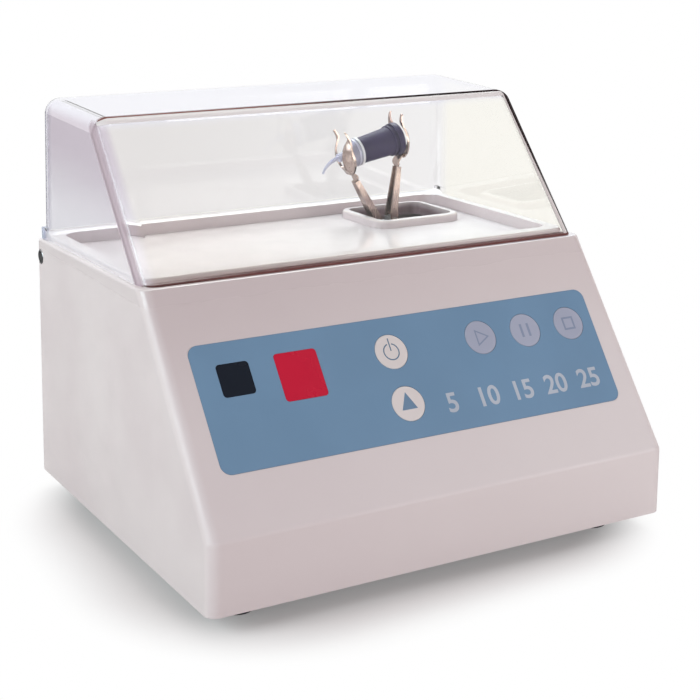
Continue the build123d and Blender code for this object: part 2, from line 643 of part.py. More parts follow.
# ------------------------------------------------------------------ hood
def hood_form(inset):
    """The hood's outer form, or the same form with its faces moved inwards and its foot open."""
    tilt = hood_front_angle()
    front = HOOD_FRONT + inset / cos(tilt)
    foot = ledge_z(front) + HOOD_GAP - (LONG / 20 if inset else 0)
    run = tan(tilt)
    base_front = front + (foot - ledge_z(HOOD_FRONT) - HOOD_GAP) * run
    top_slope = (HOOD_TOP_REAR[1] - HOOD_TOP_FRONT[1]) / (HOOD_TOP_REAR[0] - HOOD_TOP_FRONT[0])
    top = lambda y: HOOD_TOP_FRONT[1] - inset + top_slope * (y - HOOD_TOP_FRONT[0])
    start = ledge_z(HOOD_FRONT) + HOOD_GAP
    reach = (top(front) - start) * run / (1 - top_slope * run)
    head = front + reach
    rear = HOOD_FOOT_REAR_Y - inset
    rear_head = HOOD_TOP_REAR[0] - inset
    drop = LONG / 20 if inset else 0
    side = side_prism(
        [
            (base_front, foot),
            (head, top(head)),
            (rear_head, top(rear_head)),
            (rear, ledge_z(rear) + HOOD_GAP - drop),
        ],
        HALF,
    )
    low = ledge_z(REAR) - LONG / 20
    high = HOOD_TOP_REAR[1] + 1
    lean = HOOD_LEAN / HOOD_REAR_RISE
    wide = HOOD_HALF - inset + lean * (ledge_z(0) - low)
    narrow = HOOD_HALF - inset - lean * (high - ledge_z(0))
    ends = Plane.XZ * make_face(
        Polyline((-wide, low), (wide, low), (narrow, high), (-narrow, high), close=True)
    )
    form = side & extrude(ends, amount=LONG, both=True)
    foot_plane = lambda p: abs(p.Z - ledge_z(p.Y) - HOOD_GAP + drop) < 1.5
    return fillet(edges_at(form, lambda p, e: not foot_plane(p)), HOOD_CORNER_R - inset)


def hood():
    """Clear hood with two hinge ears that reach down into the case."""
    shell = hood_form(0) - hood_form(HOOD_WALL)
    roll = HINGE_ROLL_R + HINGE_ROLL_GAP
    width = RIM_HALF + RIM_GAP
    shell -= rod(roll, (-width, HINGE_Y, HINGE_Z), (width, HINGE_Y, HINGE_Z))
    for side in (-1, 1):
        x0, x1 = sorted((side * (HOOD_HALF - HOOD_WALL), side * HOOD_HALF))
        neck = block(x0, x1, HINGE_Y - EAR_R, HOOD_FOOT_REAR_Y, HINGE_Z, HINGE_Z + roll + 1)
        shell += neck + rod(EAR_R, (x0, HINGE_Y, HINGE_Z), (x1, HINGE_Y, HINGE_Z))
    for side in (-1, 1):
        shell -= rod(PIN_R + PIN_CLEARANCE, (side * (HOOD_HALF - 2 * HOOD_WALL), HINGE_Y, HINGE_Z),
                     (side * (HOOD_HALF + 1), HINGE_Y, HINGE_Z))
    shell -= hood_magnet(0.02)
    return shell


def hood_magnet(grow=0.0):
    """Disc magnet in the left ear that tells the case that the hood is shut."""
    x = -(HOOD_HALF - HOOD_WALL)
    y, z = HINGE_Y - 0.56 * EAR_R, HINGE_Z + 0.86 * EAR_R
    return rod(1.4 + grow, (x, y, z), (x - 1.2, y, z))


def hinge_pin(side):
    inner = HOOD_HALF - HOOD_WALL - EAR_GAP - HINGE_BLOCK_WIDTH + 1
    seat = pin_outer_x()
    pin = rod(PIN_R, (side * inner, HINGE_Y, HINGE_Z), (side * seat, HINGE_Y, HINGE_Z))
    end = seat + PIN_HEAD_LENGTH
    head = rod(PIN_HEAD_R, (side * seat, HINGE_Y, HINGE_Z), (side * end, HINGE_Y, HINGE_Z))
    return pin + fillet(edges_at(head, lambda p, e: abs(p.X) > end - 0.1), PIN_HEAD_EDGE_R)


def hood_sensor():
    """Reed switch on the inner face of the left hinge block."""
    x = -(HOOD_HALF - HOOD_WALL - EAR_GAP - HINGE_BLOCK_WIDTH)
    return block(x, x + 3, HINGE_Y - 8, HINGE_Y + 2, HINGE_Z - 9, HINGE_Z - 2)


# ------------------------------------------------------------------ control panel
def panel_sheet():
    """Printed membrane sheet with holes for the keys and windows."""
    low = PANEL_PROUD - PANEL_SHEET
    sheet = rounded(PANEL, -PANEL_HALF_WIDTH, PANEL_HALF_WIDTH, PANEL_LOW, PANEL_HIGH, PANEL_CORNER_R, low,
                    PANEL_PROUD)
    for x, s in KEYS.values():
        sheet -= disc(PANEL, x, s, KEY_R + KEY_GAP, -2, 2)
    sheet -= window_cut(DISPLAY_X, DISPLAY_S, DISPLAY_WIDTH, DISPLAY_HEIGHT)
    sheet -= window_cut(INDICATOR_X, INDICATOR_S, INDICATOR_WIDTH, INDICATOR_HEIGHT)
    return sheet


def key(x, s):
    """Round key: a disc, a skirt under the membrane sheet and a stem that reaches its switch."""
    under_sheet = PANEL_PROUD - PANEL_SHEET - 0.02
    top = disc(PANEL, x, s, KEY_R, KEY_PROUD - KEY_DISC, KEY_PROUD)
    rim_edge = edges_at(top, lambda p, e: PANEL.to_local_coords(p).Z > KEY_PROUD - 0.05)
    stem_end = SWITCH_HEIGHT - BOARD_DEPTH - 1
    body = fillet(rim_edge, 0.25) + disc(PANEL, x, s, KEY_R + KEY_FLANGE, KEY_PROUD - KEY_DISC, under_sheet)
    return body + disc(PANEL, x, s, KEY_STEM_R, stem_end, KEY_PROUD - KEY_DISC)


def window(x, s, width, height):
    """Clear block that fills its cut-out, with a glued flange behind the wall."""
    lens = rounded(PANEL, x - width / 2, x + width / 2, s - height / 2, s + height / 2, 1.5, -CASE_WALL,
                   PANEL_PROUD)
    flange = rounded(PANEL, x - width / 2 - WINDOW_FLANGE, x + width / 2 + WINDOW_FLANGE,
                     s - height / 2 - WINDOW_FLANGE, s + height / 2 + WINDOW_FLANGE, 2,
                     -CASE_WALL - WINDOW_FLANGE_THICK, -CASE_WALL)
    return lens + flange


def control_board():
    board = rounded(PANEL, -BOARD_HALF_WIDTH, BOARD_HALF_WIDTH, BOARD_LOW, BOARD_HIGH, 2,
                    -BOARD_DEPTH - BOARD_THICK, -BOARD_DEPTH)
    for x, s in BOARD_SCREWS:
        board -= disc(PANEL, x, s, BOARD_SCREW_R + 0.2, -BOARD_DEPTH - 3, -BOARD_DEPTH + 1)
    return board


def board_screws():
    screws = []
    for x, s in BOARD_SCREWS:
        back = -BOARD_DEPTH - BOARD_THICK
        screws.append(disc(PANEL, x, s, BOARD_SCREW_R, back, -CASE_WALL - 2.5)
                      + disc(PANEL, x, s, SCREW_HEAD_R, back - 2, back))
    return screws


def key_switches():
    """Tactile switches, each with a well for its key's stem."""
    switches = []
    for x, s in KEYS.values():
        half = SWITCH_SIDE / 2
        body = rounded(PANEL, x - half, x + half, s - half, s + half, half / 5, -BOARD_DEPTH,
                       SWITCH_HEIGHT - BOARD_DEPTH)
        switches.append(body - disc(PANEL, x, s, KEY_STEM_R + 0.2, SWITCH_HEIGHT - BOARD_DEPTH - 2, 0))
    return switches


def display_unit():
    """Two-digit display block on the control board, behind the red window."""
    half_w, half_h = DISPLAY_WIDTH / 2 - UNIT_INSET, DISPLAY_HEIGHT / 2 - UNIT_INSET
    return rounded(PANEL, DISPLAY_X - half_w, DISPLAY_X + half_w, DISPLAY_S - half_h, DISPLAY_S + half_h,
                   UNIT_CORNER_R, -BOARD_DEPTH, UNIT_FACE)


def indicator_lamp():
    """Lamp block on the control board, behind the dark window."""
    half = LAMP_SIDE / 2
    return rounded(PANEL, INDICATOR_X - half, INDICATOR_X + half, INDICATOR_S - half, INDICATOR_S + half,
                   UNIT_CORNER_R, -BOARD_DEPTH, UNIT_FACE)


def controller_chips():
    """Controller, driver and connector on the board's inner face."""
    back = -BOARD_DEPTH - BOARD_THICK
    chips = []
    for x, width, height, thick in ((DISPLAY_X, CHIP_SIDE, CHIP_SIDE, CHIP_THICK),
                                    (KEY_LEFT_X - CHIP_SIDE, DRIVER_WIDTH, DRIVER_HEIGHT, CHIP_THICK),
                                    (SHAFT_X, PLUG_WIDTH, PLUG_SIDE, PLUG_SIDE)):
        chips.append(rounded(PANEL, x - width / 2, x + width / 2, KEY_LOWER_S - height / 2,
                             KEY_LOWER_S + height / 2, CHIP_CORNER_R, back - thick, back))
    return chips


# ------------------------------------------------------------------ fork drive
def about_fork(radius_in, radius_out, low, high):
    """A ring round the oblique axis."""
    axis = Plane(origin=FORK.origin, x_dir=FORK.y_dir, z_dir=FORK.x_dir)
    ring = extrude(axis * Pos(0, 0, low) * Circle(radius_out), amount=high - low)
    if radius_in > 0:
        ring -= extrude(axis * Pos(0, 0, low - 1) * Circle(radius_in), amount=high - low + 2)
    return ring


def shaft_rod(radius, x0, x1):
    return rod(radius, (x0, SHAFT_Y, SHAFT_Z), (x1, SHAFT_Y, SHAFT_Z))


def motor_shaft():
    end = OUTBOARD_X + BUSH_LENGTH + 1
    start = motor_rear_x() - MOTOR_BOSS
    shaft = shaft_rod(SHAFT_R, start, end)
    return chamfer(edges_at(shaft, lambda p, e: p.X > end - 0.1), 0.6)


def oblique_sleeve():
    """Sleeve whose outside leans against its bore; it makes the fork wobble."""
    half = SLEEVE_LENGTH / 2
    body = about_fork(0, BEARING_BORE_R, -half, half)
    body += about_fork(0, SLEEVE_FLANGE_R, -BEARING_WIDTH / 2 - SLEEVE_FLANGE, -BEARING_WIDTH / 2)
    return body - shaft_rod(SHAFT_R, SHAFT_X - LONG, SHAFT_X + LONG)


def race_groove(radius):
    """Torus that the balls run in."""
    axis = Plane(origin=FORK.origin, x_dir=FORK.y_dir, z_dir=FORK.x_dir)
    return axis * Torus(ball_circle(), radius)


def ball_circle():
    return (BEARING_BORE_R + BEARING_OUTER_R) / 2


def bearing_inner_ring():
    return (about_fork(BEARING_BORE_R, BEARING_BORE_R + BEARING_RING, -BEARING_WIDTH / 2, BEARING_WIDTH / 2)
            - race_groove(BALL_R + BALL_GAP))


def bearing_outer_ring():
    half = BEARING_WIDTH / 2
    return (about_fork(BEARING_OUTER_R - BEARING_RING, BEARING_OUTER_R, -half, half)
            - race_groove(BALL_R + BALL_GAP))


def ball_places():
    return [FORK * Rot(360 * i / BALL_COUNT, 0, 0) * Pos(0, ball_circle(), 0) for i in range(BALL_COUNT)]


def bearing_balls():
    return [place * Sphere(BALL_R) for place in ball_places()]


def bearing_cage():
    cage = about_fork(ball_circle() - CAGE_THICK / 2, ball_circle() + CAGE_THICK / 2, -CAGE_WIDTH / 2,
                      CAGE_WIDTH / 2)
    for place in ball_places():
        cage -= place * Rot(90, 0, 0) * Cylinder(BALL_R + BALL_GAP, 4 * CAGE_THICK)
    return cage


def bearing_circlip():
    """Retaining ring that holds the bearing against the sleeve's flange."""
    low = BEARING_WIDTH / 2
    return about_fork(BEARING_BORE_R, BEARING_BORE_R + 1.6, low, low + 1.2)


def fork_side_view():
    """Plane of the fork's own side view: x outwards, y up the fork, normal to the front."""
    return Plane(origin=FORK.origin, x_dir=FORK.x_dir, z_dir=-FORK.y_dir)


def fork_front_view():
    """Plane of the fork's end view: x to the rear, y up the fork, normal to the right."""
    return Plane(origin=FORK.origin, x_dir=FORK.y_dir, z_dir=FORK.x_dir)


def arm_reach(height):
    """Outer face of an arm, out from the fork's middle."""
    return ARM_REACH + max(0.0, height - ARM_BEND) * tan(radians(ARM_SPLAY))


def arm_size(height):
    """Depth and width of an arm's channel; both taper from foot to top."""
    share = (height - ARM_FOOT) / (ARM_TOP - ARM_FOOT)
    return (ARM_FOOT_DEPTH + share * (ARM_TOP_DEPTH - ARM_FOOT_DEPTH),
            ARM_FOOT_WIDTH + share * (ARM_TOP_WIDTH - ARM_FOOT_WIDTH))


def arm_section(side, height, sheet):
    """Section across an arm, sheet inside its outer face and its flanges."""
    tilt = radians(0 if height < ARM_BEND else ARM_SPLAY / 2 if height == ARM_BEND else ARM_SPLAY)
    depth, width = arm_size(height)
    origin = FORK.origin + FORK.x_dir * (side * arm_reach(height)) + FORK.z_dir * height
    outward = FORK.x_dir * (side * cos(tilt)) - FORK.z_dir * sin(tilt)
    along = FORK.x_dir * (side * sin(tilt)) + FORK.z_dir * cos(tilt)
    section = Plane(origin=origin, x_dir=outward, z_dir=along)
    return section * Pos(-depth / 2 - sheet, 0, 0) * Rectangle(depth, width - 2 * sheet)


def arm_inside(side):
    """The channel's inside, which the hub's tang fills at the foot."""
    return loft([arm_section(side, height, ARM_SHEET) for height in (TANG_ROOT - 2, ARM_BEND, ARM_TOP + 2)],
                ruled=True)


def arm(side):
    """Tapered channel of bent sheet: web outside, flanges towards the other arm."""
    channel = loft([arm_section(side, height, 0) for height in (ARM_FOOT, ARM_BEND, ARM_TOP)], ruled=True)
    channel -= arm_inside(side)
    for place in rivet_places():
        channel -= place * Cylinder(RIVET_R, 2 * ARM_FOOT_WIDTH)
    return channel


def rivet_places():
    """Two rivets through each arm's foot, along the fork's depth."""
    x = ARM_REACH - ARM_SHEET - ARM_FOOT_DEPTH / 3
    return [FORK * Pos(side * x, 0, height) * Rot(90, 0, 0)
            for side in (-1, 1) for height in (ARM_FOOT + 2.4, ARM_BEND - 3.4)]


def arm_rivets():
    rivets = []
    for place in rivet_places():
        height = FORK.to_local_coords(place.position).Z
        half = arm_size(height)[1] / 2 + 0.1
        rivet = place * Cylinder(RIVET_R, 2 * half)
        for end in (-1, 1):
            rivet += place * Pos(0, 0, end * (half + RIVET_HEAD / 2)) * Cylinder(RIVET_HEAD_R, RIVET_HEAD)
        rivets.append(rivet)
    return rivets


def fork_hub():
    """Bearing ring with a tang for each arm and two lugs for the steadying springs."""
    hub = about_fork(0, HUB_OUTER_R, -HUB_WIDTH / 2, HUB_WIDTH / 2)
    tang_zone = FORK * Pos(0, 0, (TANG_ROOT + TANG_TOP) / 2) * Box(
        2 * ARM_REACH, ARM_FOOT_WIDTH, TANG_TOP - TANG_ROOT)
    for side in (-1, 1):
        hub += arm_inside(side) & tang_zone
    saddle_top = TANG_TOP - 5
    hub += FORK * Pos(0, 0, (TANG_ROOT + saddle_top) / 2) * Box(
        2 * (ARM_REACH - ARM_FOOT_DEPTH / 2), ARM_FOOT_WIDTH / 2, saddle_top - TANG_ROOT)
    for side in (-1, 1):
        hub += FORK * Pos(0, side * SPRING_Y, SPRING_LUG_TOP - SPRING_LUG / 2) * Box(4, 5, SPRING_LUG)
    hub -= about_fork(0, BEARING_OUTER_R, -HUB_WIDTH, BEARING_WIDTH / 2)
    hub -= about_fork(0, BEARING_OUTER_R - 1.2, 0, HUB_WIDTH)
    for place in rivet_places():
        hub -= place * Cylinder(RIVET_R, 2 * ARM_FOOT_WIDTH)
    return hub


def dish_reach(side, radius):
    """Inner face of a jaw's dish, out from the fork's middle, at a radius from the capsule's axis."""
    return JAW_DISH_CENTRE[side] + sqrt(JAW_DISH_R[side] ** 2 - radius**2)


def jaw_dish(side):
    """The dished part of a jaw with its turned-out lip, as a full turn round the capsule's axis."""
    mid = JAW_SHEET / 2
    rim = JAW_DISH_RIM[side]
    fall = rim / (dish_reach(side, rim) - JAW_DISH_CENTRE[side])
    bottom = CAPSULE_HEIGHT
    radius = JAW_DISH_R[side] + mid
    angle = atan2(rim, dish_reach(side, rim) - JAW_DISH_CENTRE[side])
    turn = lambda share: (side * (JAW_DISH_CENTRE[side] + radius * cos(share * angle)),
                          bottom + radius * sin(share * angle))
    bowl = ThreePointArc(turn(0), turn(0.5), turn(1))
    lip = Spline(
        bowl @ 1,
        (side * (JAW_LIP_REACH[side] + mid), bottom + JAW_TIP + 1),
        tangents=((-side * fall, 1), (side * 0.6, 1)),
        tangent_scalars=(0.8, 1.6),
    )
    profile = fork_side_view() * trace(Wire([bowl, lip]), JAW_SHEET)
    return revolve(profile, Axis(capsule_axis().origin, FORK.x_dir))


def jaw_stem(side):
    """Strip that runs up inside the arm and bends out under the dish."""
    mid = JAW_SHEET / 2
    inside = (ARM_SHEET + mid + 0.02) / cos(radians(ARM_SPLAY))
    stem = Line((side * (arm_reach(JAW_STEM_FOOT) - inside), JAW_STEM_FOOT),
                (side * (arm_reach(JAW_STEM_BEND) - inside), JAW_STEM_BEND))
    reach = dish_reach(side, JAW_DISH_FOOT)
    rise = JAW_DISH_FOOT / (reach - JAW_DISH_CENTRE[side])
    path = Spline(
        stem @ 1,
        (side * JAW_NECK_REACH, JAW_NECK_HEIGHT),
        (side * (reach + mid), CAPSULE_HEIGHT - JAW_DISH_FOOT),
        tangents=(stem % 1, (side * rise, 1)),
    )
    strip = fork_side_view() * trace(Wire([stem, path]), JAW_SHEET)
    return extrude(strip, amount=JAW_NECK_WIDTH / 2, both=True)


def jaw_outline(dished):
    """Front view of the leaf, or of its stem: x to the rear, y up the fork."""
    middle = CAPSULE_HEIGHT
    if dished:
        half, lip = JAW_HALF_WIDTH, JAW_LIP_HALF_WIDTH
        foot, tip = (JAW_NECK_WIDTH / 2, middle - JAW_DISH_FOOT - 2), (lip, middle + JAW_TIP)
        flank = Spline(foot, (half, middle - JAW_TIP / 4), tip, tangents=((1, 0.6), (-0.1, 1)))
        other = flank.mirror(Plane.YZ)
        return make_face(Wire([flank, Line(flank @ 1, other @ 1), other, Line(flank @ 0, other @ 0)]))
    stem, neck = JAW_STEM_WIDTH / 2, JAW_NECK_WIDTH / 2
    right = [(stem, ARM_FOOT), (stem, ARM_TOP + 0.4), (neck, ARM_TOP + 1.6), (neck, middle)]
    return make_face(Polyline(*right, *[(-x, y) for x, y in reversed(right)], close=True))


def jaw_slot(side):
    """Slot between the leaf's two prongs; the left one clears the capsule's neck."""
    low = CAPSULE_HEIGHT - CAPSULE_NECK_R - CAPSULE_GAP
    top = CAPSULE_HEIGHT + 2 * JAW_TIP
    foot, head = JAW_SLOT / 2, JAW_SLOT_TOP
    cut = make_face(Polyline((-foot, low), (foot, low), (head, top), (-head, top), close=True))
    cut += Pos(0, low) * Circle(foot)
    return extrude(fork_front_view() * cut, amount=side * LONG)


def jaw(side):
    """Spring jaw: a stamped leaf that cups one end of the capsule between its two prongs."""
    leaf = extrude(fork_front_view() * jaw_outline(True), amount=side * LONG)
    corners = edges_at(leaf, lambda p, e: abs(e.length - LONG) < 0.1
                       and FORK.to_local_coords(p).Z > CAPSULE_HEIGHT)
    dish = jaw_dish(side) & fillet(corners, JAW_TIP_R)
    stem = jaw_stem(side) & extrude(fork_front_view() * jaw_outline(False), amount=side * LONG)
    return dish + stem - jaw_slot(side)


# ------------------------------------------------------------------ capsule
def capsule_axis():
    """Plane across the capsule's axis, at the fork's middle."""
    return Plane(origin=FORK.origin + FORK.z_dir * CAPSULE_HEIGHT, x_dir=FORK.y_dir, z_dir=FORK.x_dir)


def capsule_ring(radius, low, high):
    return disc(capsule_axis(), 0, 0, radius, low, high)


def capsule_cone(left, left_radius, right, right_radius):
    return loft([capsule_axis() * Pos(0, 0, left) * Circle(left_radius),
                 capsule_axis() * Pos(0, 0, right) * Circle(right_radius)])


def capsule_body():
    """Dark mixing body: slightly tapered, with a rib and a broad flange at its right-hand end."""
    body = capsule_cone(CAPSULE_LEFT, CAPSULE_BODY_LEFT_R, CAPSULE_RIGHT, CAPSULE_BODY_R)
    rib = capsule_ring(CAPSULE_RIB_R, CAPSULE_RIB_RIGHT - CAPSULE_RIB_WIDTH, CAPSULE_RIB_RIGHT)
    flange = capsule_ring(CAPSULE_FLANGE_R, CAPSULE_RIGHT - CAPSULE_FLANGE_WIDTH, CAPSULE_RIGHT)
    return body + fillet(rib.edges(), CAPSULE_GAP) + fillet(flange.edges(), CAPSULE_GAP)


def capsule_seal():
    """White ring between the body and the cap."""
    return capsule_ring(CAPSULE_RING_R, CAPSULE_LEFT - CAPSULE_RING_WIDTH, CAPSULE_LEFT)


def nozzle():
    """Thin tapering nozzle, bent downwards."""
    view = fork_side_view()
    start = (CAPSULE_NECK_END + NOZZLE_ROOT_R, CAPSULE_HEIGHT)
    points = [(x, CAPSULE_HEIGHT + rise) for x, rise in (NOZZLE_MIDDLE, NOZZLE_TIP)]
    path = view * Spline(start, *points, tangents=((-1, 0), (-0.6, -1)))
    rings = []
    for station in range(NOZZLE_STATIONS):
        share = station / (NOZZLE_STATIONS - 1)
        radius = NOZZLE_ROOT_R + share * (NOZZLE_TIP_R - NOZZLE_ROOT_R)
        rings.append(Plane(origin=path @ share, z_dir=path % share) * Circle(radius))
    return loft(rings)


def capsule_cap():
    """Translucent cap: a rib beside the seal, a stepped cone, a neck and the nozzle."""
    low = CAPSULE_LEFT - CAPSULE_RING_WIDTH
    cap = capsule_ring(CAP_SHOULDER_R, CAP_SHOULDER, low)
    cap += capsule_ring(CAP_RIB_R, low - 2 * CAP_RIB_WIDTH, low - CAP_RIB_WIDTH)
    cap += capsule_cone(CAP_BEND, CAP_BEND_R, CAP_SHOULDER, CAP_SHOULDER_R)
    cap += capsule_cone(CAP_END, CAP_END_R, CAP_BEND, CAP_BEND_R)
    cap += capsule_ring(CAPSULE_NECK_R, CAPSULE_NECK_END, CAP_END)
    return cap + nozzle()


# ------------------------------------------------------------------ motor and cradle
def motor_rear_x():
    return MOTOR_FACE_X - MOTOR_LENGTH


def motor_can():
    """Steel tube round the stator, with cooling slots."""
    x0, x1 = motor_rear_x() + MOTOR_CAP, MOTOR_FACE_X - MOTOR_CAP
    can = shaft_rod(MOTOR_R - 1, x0, x1) - shaft_rod(MOTOR_R - 1 - MOTOR_CAN_WALL, x0 - 1, x1 + 1)
    middle = (x0 + x1) / 2
    stator_half = ROTOR_LENGTH / 2
    for step in range(MOTOR_VENTS):
        turn = Pos(middle, SHAFT_Y, SHAFT_Z) * Rot(360 / MOTOR_VENTS * step, 0, 0)
        for side in (-1, 1):
            can -= turn * Pos(side * (stator_half + 4), 0, MOTOR_R) * Box(4, 9, 6)
    return can


def motor_end_caps():
    """Cast end caps; each has a boss with the bush bore for the shaft."""
    made = []
    for x0, x1, boss in ((motor_rear_x(), motor_rear_x() + MOTOR_CAP, -MOTOR_BOSS),
                         (MOTOR_FACE_X - MOTOR_CAP, MOTOR_FACE_X, MOTOR_BOSS)):
        cap = shaft_rod(MOTOR_R, x0, x1)
        outer_face = x0 if boss < 0 else x1
        edge = edges_at(cap, lambda p, e: abs(p.X - outer_face) < 0.1)
        cap = chamfer(edge, 0.8) + shaft_rod(MOTOR_BOSS_R, *sorted((outer_face, outer_face + boss)))
        inner_face = x1 if boss < 0 else x0
        hollow_end = inner_face - MOTOR_CAP_HOLLOW * boss / MOTOR_BOSS
        cap -= shaft_rod(MOTOR_R - 1 - MOTOR_CAN_WALL, *sorted((inner_face, hollow_end)))
        cap -= shaft_rod(SHAFT_R + RUNNING_GAP, x0 - 2 * MOTOR_BOSS, x1 + 2 * MOTOR_BOSS)
        made.append(cap)
    for place in motor_screw_places():
        made[1] -= place * Cylinder(SCREW_R, 6)
    return made


def motor_middle():
    return MOTOR_FACE_X - MOTOR_LENGTH / 2


def slotted(core, radius, slots, width, depth):
    """Axial slots round a core, cut from a radius by a depth either way."""
    for step in range(slots):
        turn = Pos(motor_middle(), SHAFT_Y, SHAFT_Z) * Rot(360 / slots * step, 0, 0)
        core -= turn * Pos(0, 0, radius) * Box(LONG, width, depth)
    return core


def stator():
    """Laminated ring with winding slots round its bore."""
    half = ROTOR_LENGTH / 2
    x0, x1 = motor_middle() - half, motor_middle() + half
    ring = shaft_rod(MOTOR_R - 1 - MOTOR_CAN_WALL, x0, x1) - shaft_rod(STATOR_BORE_R, x0 - 1, x1 + 1)
    return slotted(ring, STATOR_BORE_R + 1, STATOR_SLOTS, 2.6, 4)


def rotor_core():
    """Wound core fixed on the motor's shaft."""
    half = ROTOR_LENGTH / 2
    radius = STATOR_BORE_R - ROTOR_GAP
    core = shaft_rod(radius, motor_middle() - half, motor_middle() + half)
    return slotted(core, radius, ROTOR_SLOTS, 2.0, 6) - shaft_rod(SHAFT_R, -LONG, LONG)


def motor_screw_places():
    """Places on the motor's face, with z along the shaft."""
    return [Plane(origin=(MOTOR_FACE_X, SHAFT_Y + MOTOR_SCREW_CIRCLE_R * cos(radians(a)),
                          SHAFT_Z + MOTOR_SCREW_CIRCLE_R * sin(radians(a))), z_dir=(1, 0, 0)).location
            for a in (45, 135, 225, 315)]


def motor_screws():
    screws = []
    for place in motor_screw_places():
        shank = place * Pos(0, 0, CRADLE_SHEET / 2 - 1.5) * Cylinder(SCREW_R, CRADLE_SHEET + 3)
        screws.append(shank + place * Pos(0, 0, CRADLE_SHEET + 1) * Cylinder(SCREW_HEAD_R, 2))
    return screws


def upright(x, top_radius):
    """An end plate of the cradle: straight sides with a round head about the shaft."""
    z0 = above_edge(CRADLE_FLOOR)
    plate = block(x, x + CRADLE_SHEET, SHAFT_Y - top_radius, SHAFT_Y + top_radius, z0, SHAFT_Z)
    return plate + rod(top_radius, (x, SHAFT_Y, SHAFT_Z), (x + CRADLE_SHEET, SHAFT_Y, SHAFT_Z))


def cradle():
    """Bent steel cradle that carries the motor and the outboard bearing."""
    z0 = above_edge(CRADLE_FLOOR)
    floor = block(CRADLE_LEFT, OUTBOARD_X + CRADLE_SHEET, SHAFT_Y - CRADLE_HALF_WIDTH,
                  SHAFT_Y + CRADLE_HALF_WIDTH, z0, z0 + CRADLE_SHEET)
    frame = floor + upright(MOTOR_FACE_X, MOTOR_R) + upright(OUTBOARD_X, 17.0)
    for y in (SHAFT_Y - CRADLE_HALF_WIDTH, SHAFT_Y + CRADLE_HALF_WIDTH - CRADLE_SHEET):
        frame += block(CRADLE_LEFT, OUTBOARD_X + CRADLE_SHEET, y, y + CRADLE_SHEET, z0, z0 + CRADLE_FLANGE)
    frame -= shaft_rod(MOTOR_BOSS_R + 0.1, MOTOR_FACE_X - 1, MOTOR_FACE_X + 2 * CRADLE_SHEET)
    frame -= shaft_rod(BUSH_R, OUTBOARD_X - 1, OUTBOARD_X + 2 * CRADLE_SHEET)
    for place in motor_screw_places():
        frame -= place * Cylinder(SCREW_R + 0.2, 4 * CRADLE_SHEET)
    for x, y in mount_places():
        frame -= rod(SCREW_R + 0.2, (x, y, z0 - 1), (x, y, z0 + 2 * CRADLE_SHEET))
    for x, y in spring_places():
        frame -= rod(SCREW_R, (x, y, z0 - 1), (x, y, z0 + 2 * CRADLE_SHEET))
    return frame


def outboard_bush():
    """Bronze bush for the shaft's outer end, flanged against its plate."""
    bush = shaft_rod(BUSH_R, OUTBOARD_X, OUTBOARD_X + BUSH_LENGTH)
    bush += shaft_rod(BUSH_R + 2, OUTBOARD_X + CRADLE_SHEET, OUTBOARD_X + CRADLE_SHEET + 1.6)
    return bush - shaft_rod(SHAFT_R + RUNNING_GAP, OUTBOARD_X - 1, OUTBOARD_X + 2 * BUSH_LENGTH)


def mount_places():
    inset = 11.0
    return [(x, SHAFT_Y + j * (CRADLE_HALF_WIDTH - inset))
            for x in (CRADLE_LEFT + inset, OUTBOARD_X - inset) for j in (-1, 1)]


def rubber_mounts():
    z0, z1 = BASE_TOP, above_edge(CRADLE_FLOOR)
    return [rod(MOUNT_R, (x, y, z0), (x, y, z1)) - rod(SCREW_R, (x, y, z0 - 1), (x, y, z1 + 1))
            for x, y in mount_places()]


def mount_screws():
    top = above_edge(CRADLE_FLOOR) + CRADLE_SHEET
    return [rod(SCREW_R, (x, y, BASE_LOW), (x, y, top)) + rod(SCREW_HEAD_R, (x, y, top), (x, y, top + 2))
            for x, y in mount_places()]


def spring_places():
    return [(SHAFT_X, SHAFT_Y + j * SPRING_Y) for j in (-1, 1)]


def spring_posts():
    """Riveted posts in the cradle that hold the lower ends of the steadying springs."""
    z0 = above_edge(CRADLE_FLOOR)
    top = z0 + CRADLE_SHEET
    return [rod(SCREW_R, (x, y, z0), (x, y, top)) + rod(SPRING_R, (x, y, top), (x, y, top + SPRING_POST))
            for x, y in spring_places()]


def steady_springs():
    """Coil springs between the hub's lugs and the cradle; they stop the hub from turning."""
    low = above_edge(CRADLE_FLOOR) + CRADLE_SHEET + SPRING_POST + SPRING_WIRE
    high = SHAFT_Z + (SPRING_LUG_TOP - SPRING_LUG) * cos(radians(WOBBLE)) - 2 * SPRING_WIRE
    path = Helix(pitch=(high - low) / SPRING_TURNS, height=high - low, radius=SPRING_R)
    coil = sweep(Plane(origin=path @ 0, z_dir=path % 0) * Circle(SPRING_WIRE), path=path)
    return [Pos(x, y, low) * coil for x, y in spring_places()]


# ------------------------------------------------------------------ base, feet and supply
def base_plate():
    """Steel base plate with cooling slots under the motor."""
    half_x = HALF - CASE_WALL - DRAFT * BASE_RECESS - BASE_GAP
    half_y = CASE_DEPTH / 2 - CASE_WALL - BASE_GAP
    plate = rounded(Plane.XY, -half_x, half_x, -half_y, half_y, BASE_CORNER_R, BASE_LOW, BASE_TOP)
    for x, y in FEET:
        plate -= rod(FOOT_SCREW_R, (x, y, 0), (x, y, LONG))
    for x, y in POSTS + mount_places() + supply_posts():
        plate -= rod(SCREW_R, (x, y, 0), (x, y, LONG))
    for column in range(VENT_COUNT):
        x = (column - (VENT_COUNT - 1) / 2) * VENT_PITCH
        slot = Pos(x, SHAFT_Y - CRADLE_HALF_WIDTH - VENT_LENGTH, 0) * SlotOverall(VENT_LENGTH, VENT_WIDTH,
                                                                                rotation=90)
        plate -= extrude(slot, amount=LONG)
    return plate


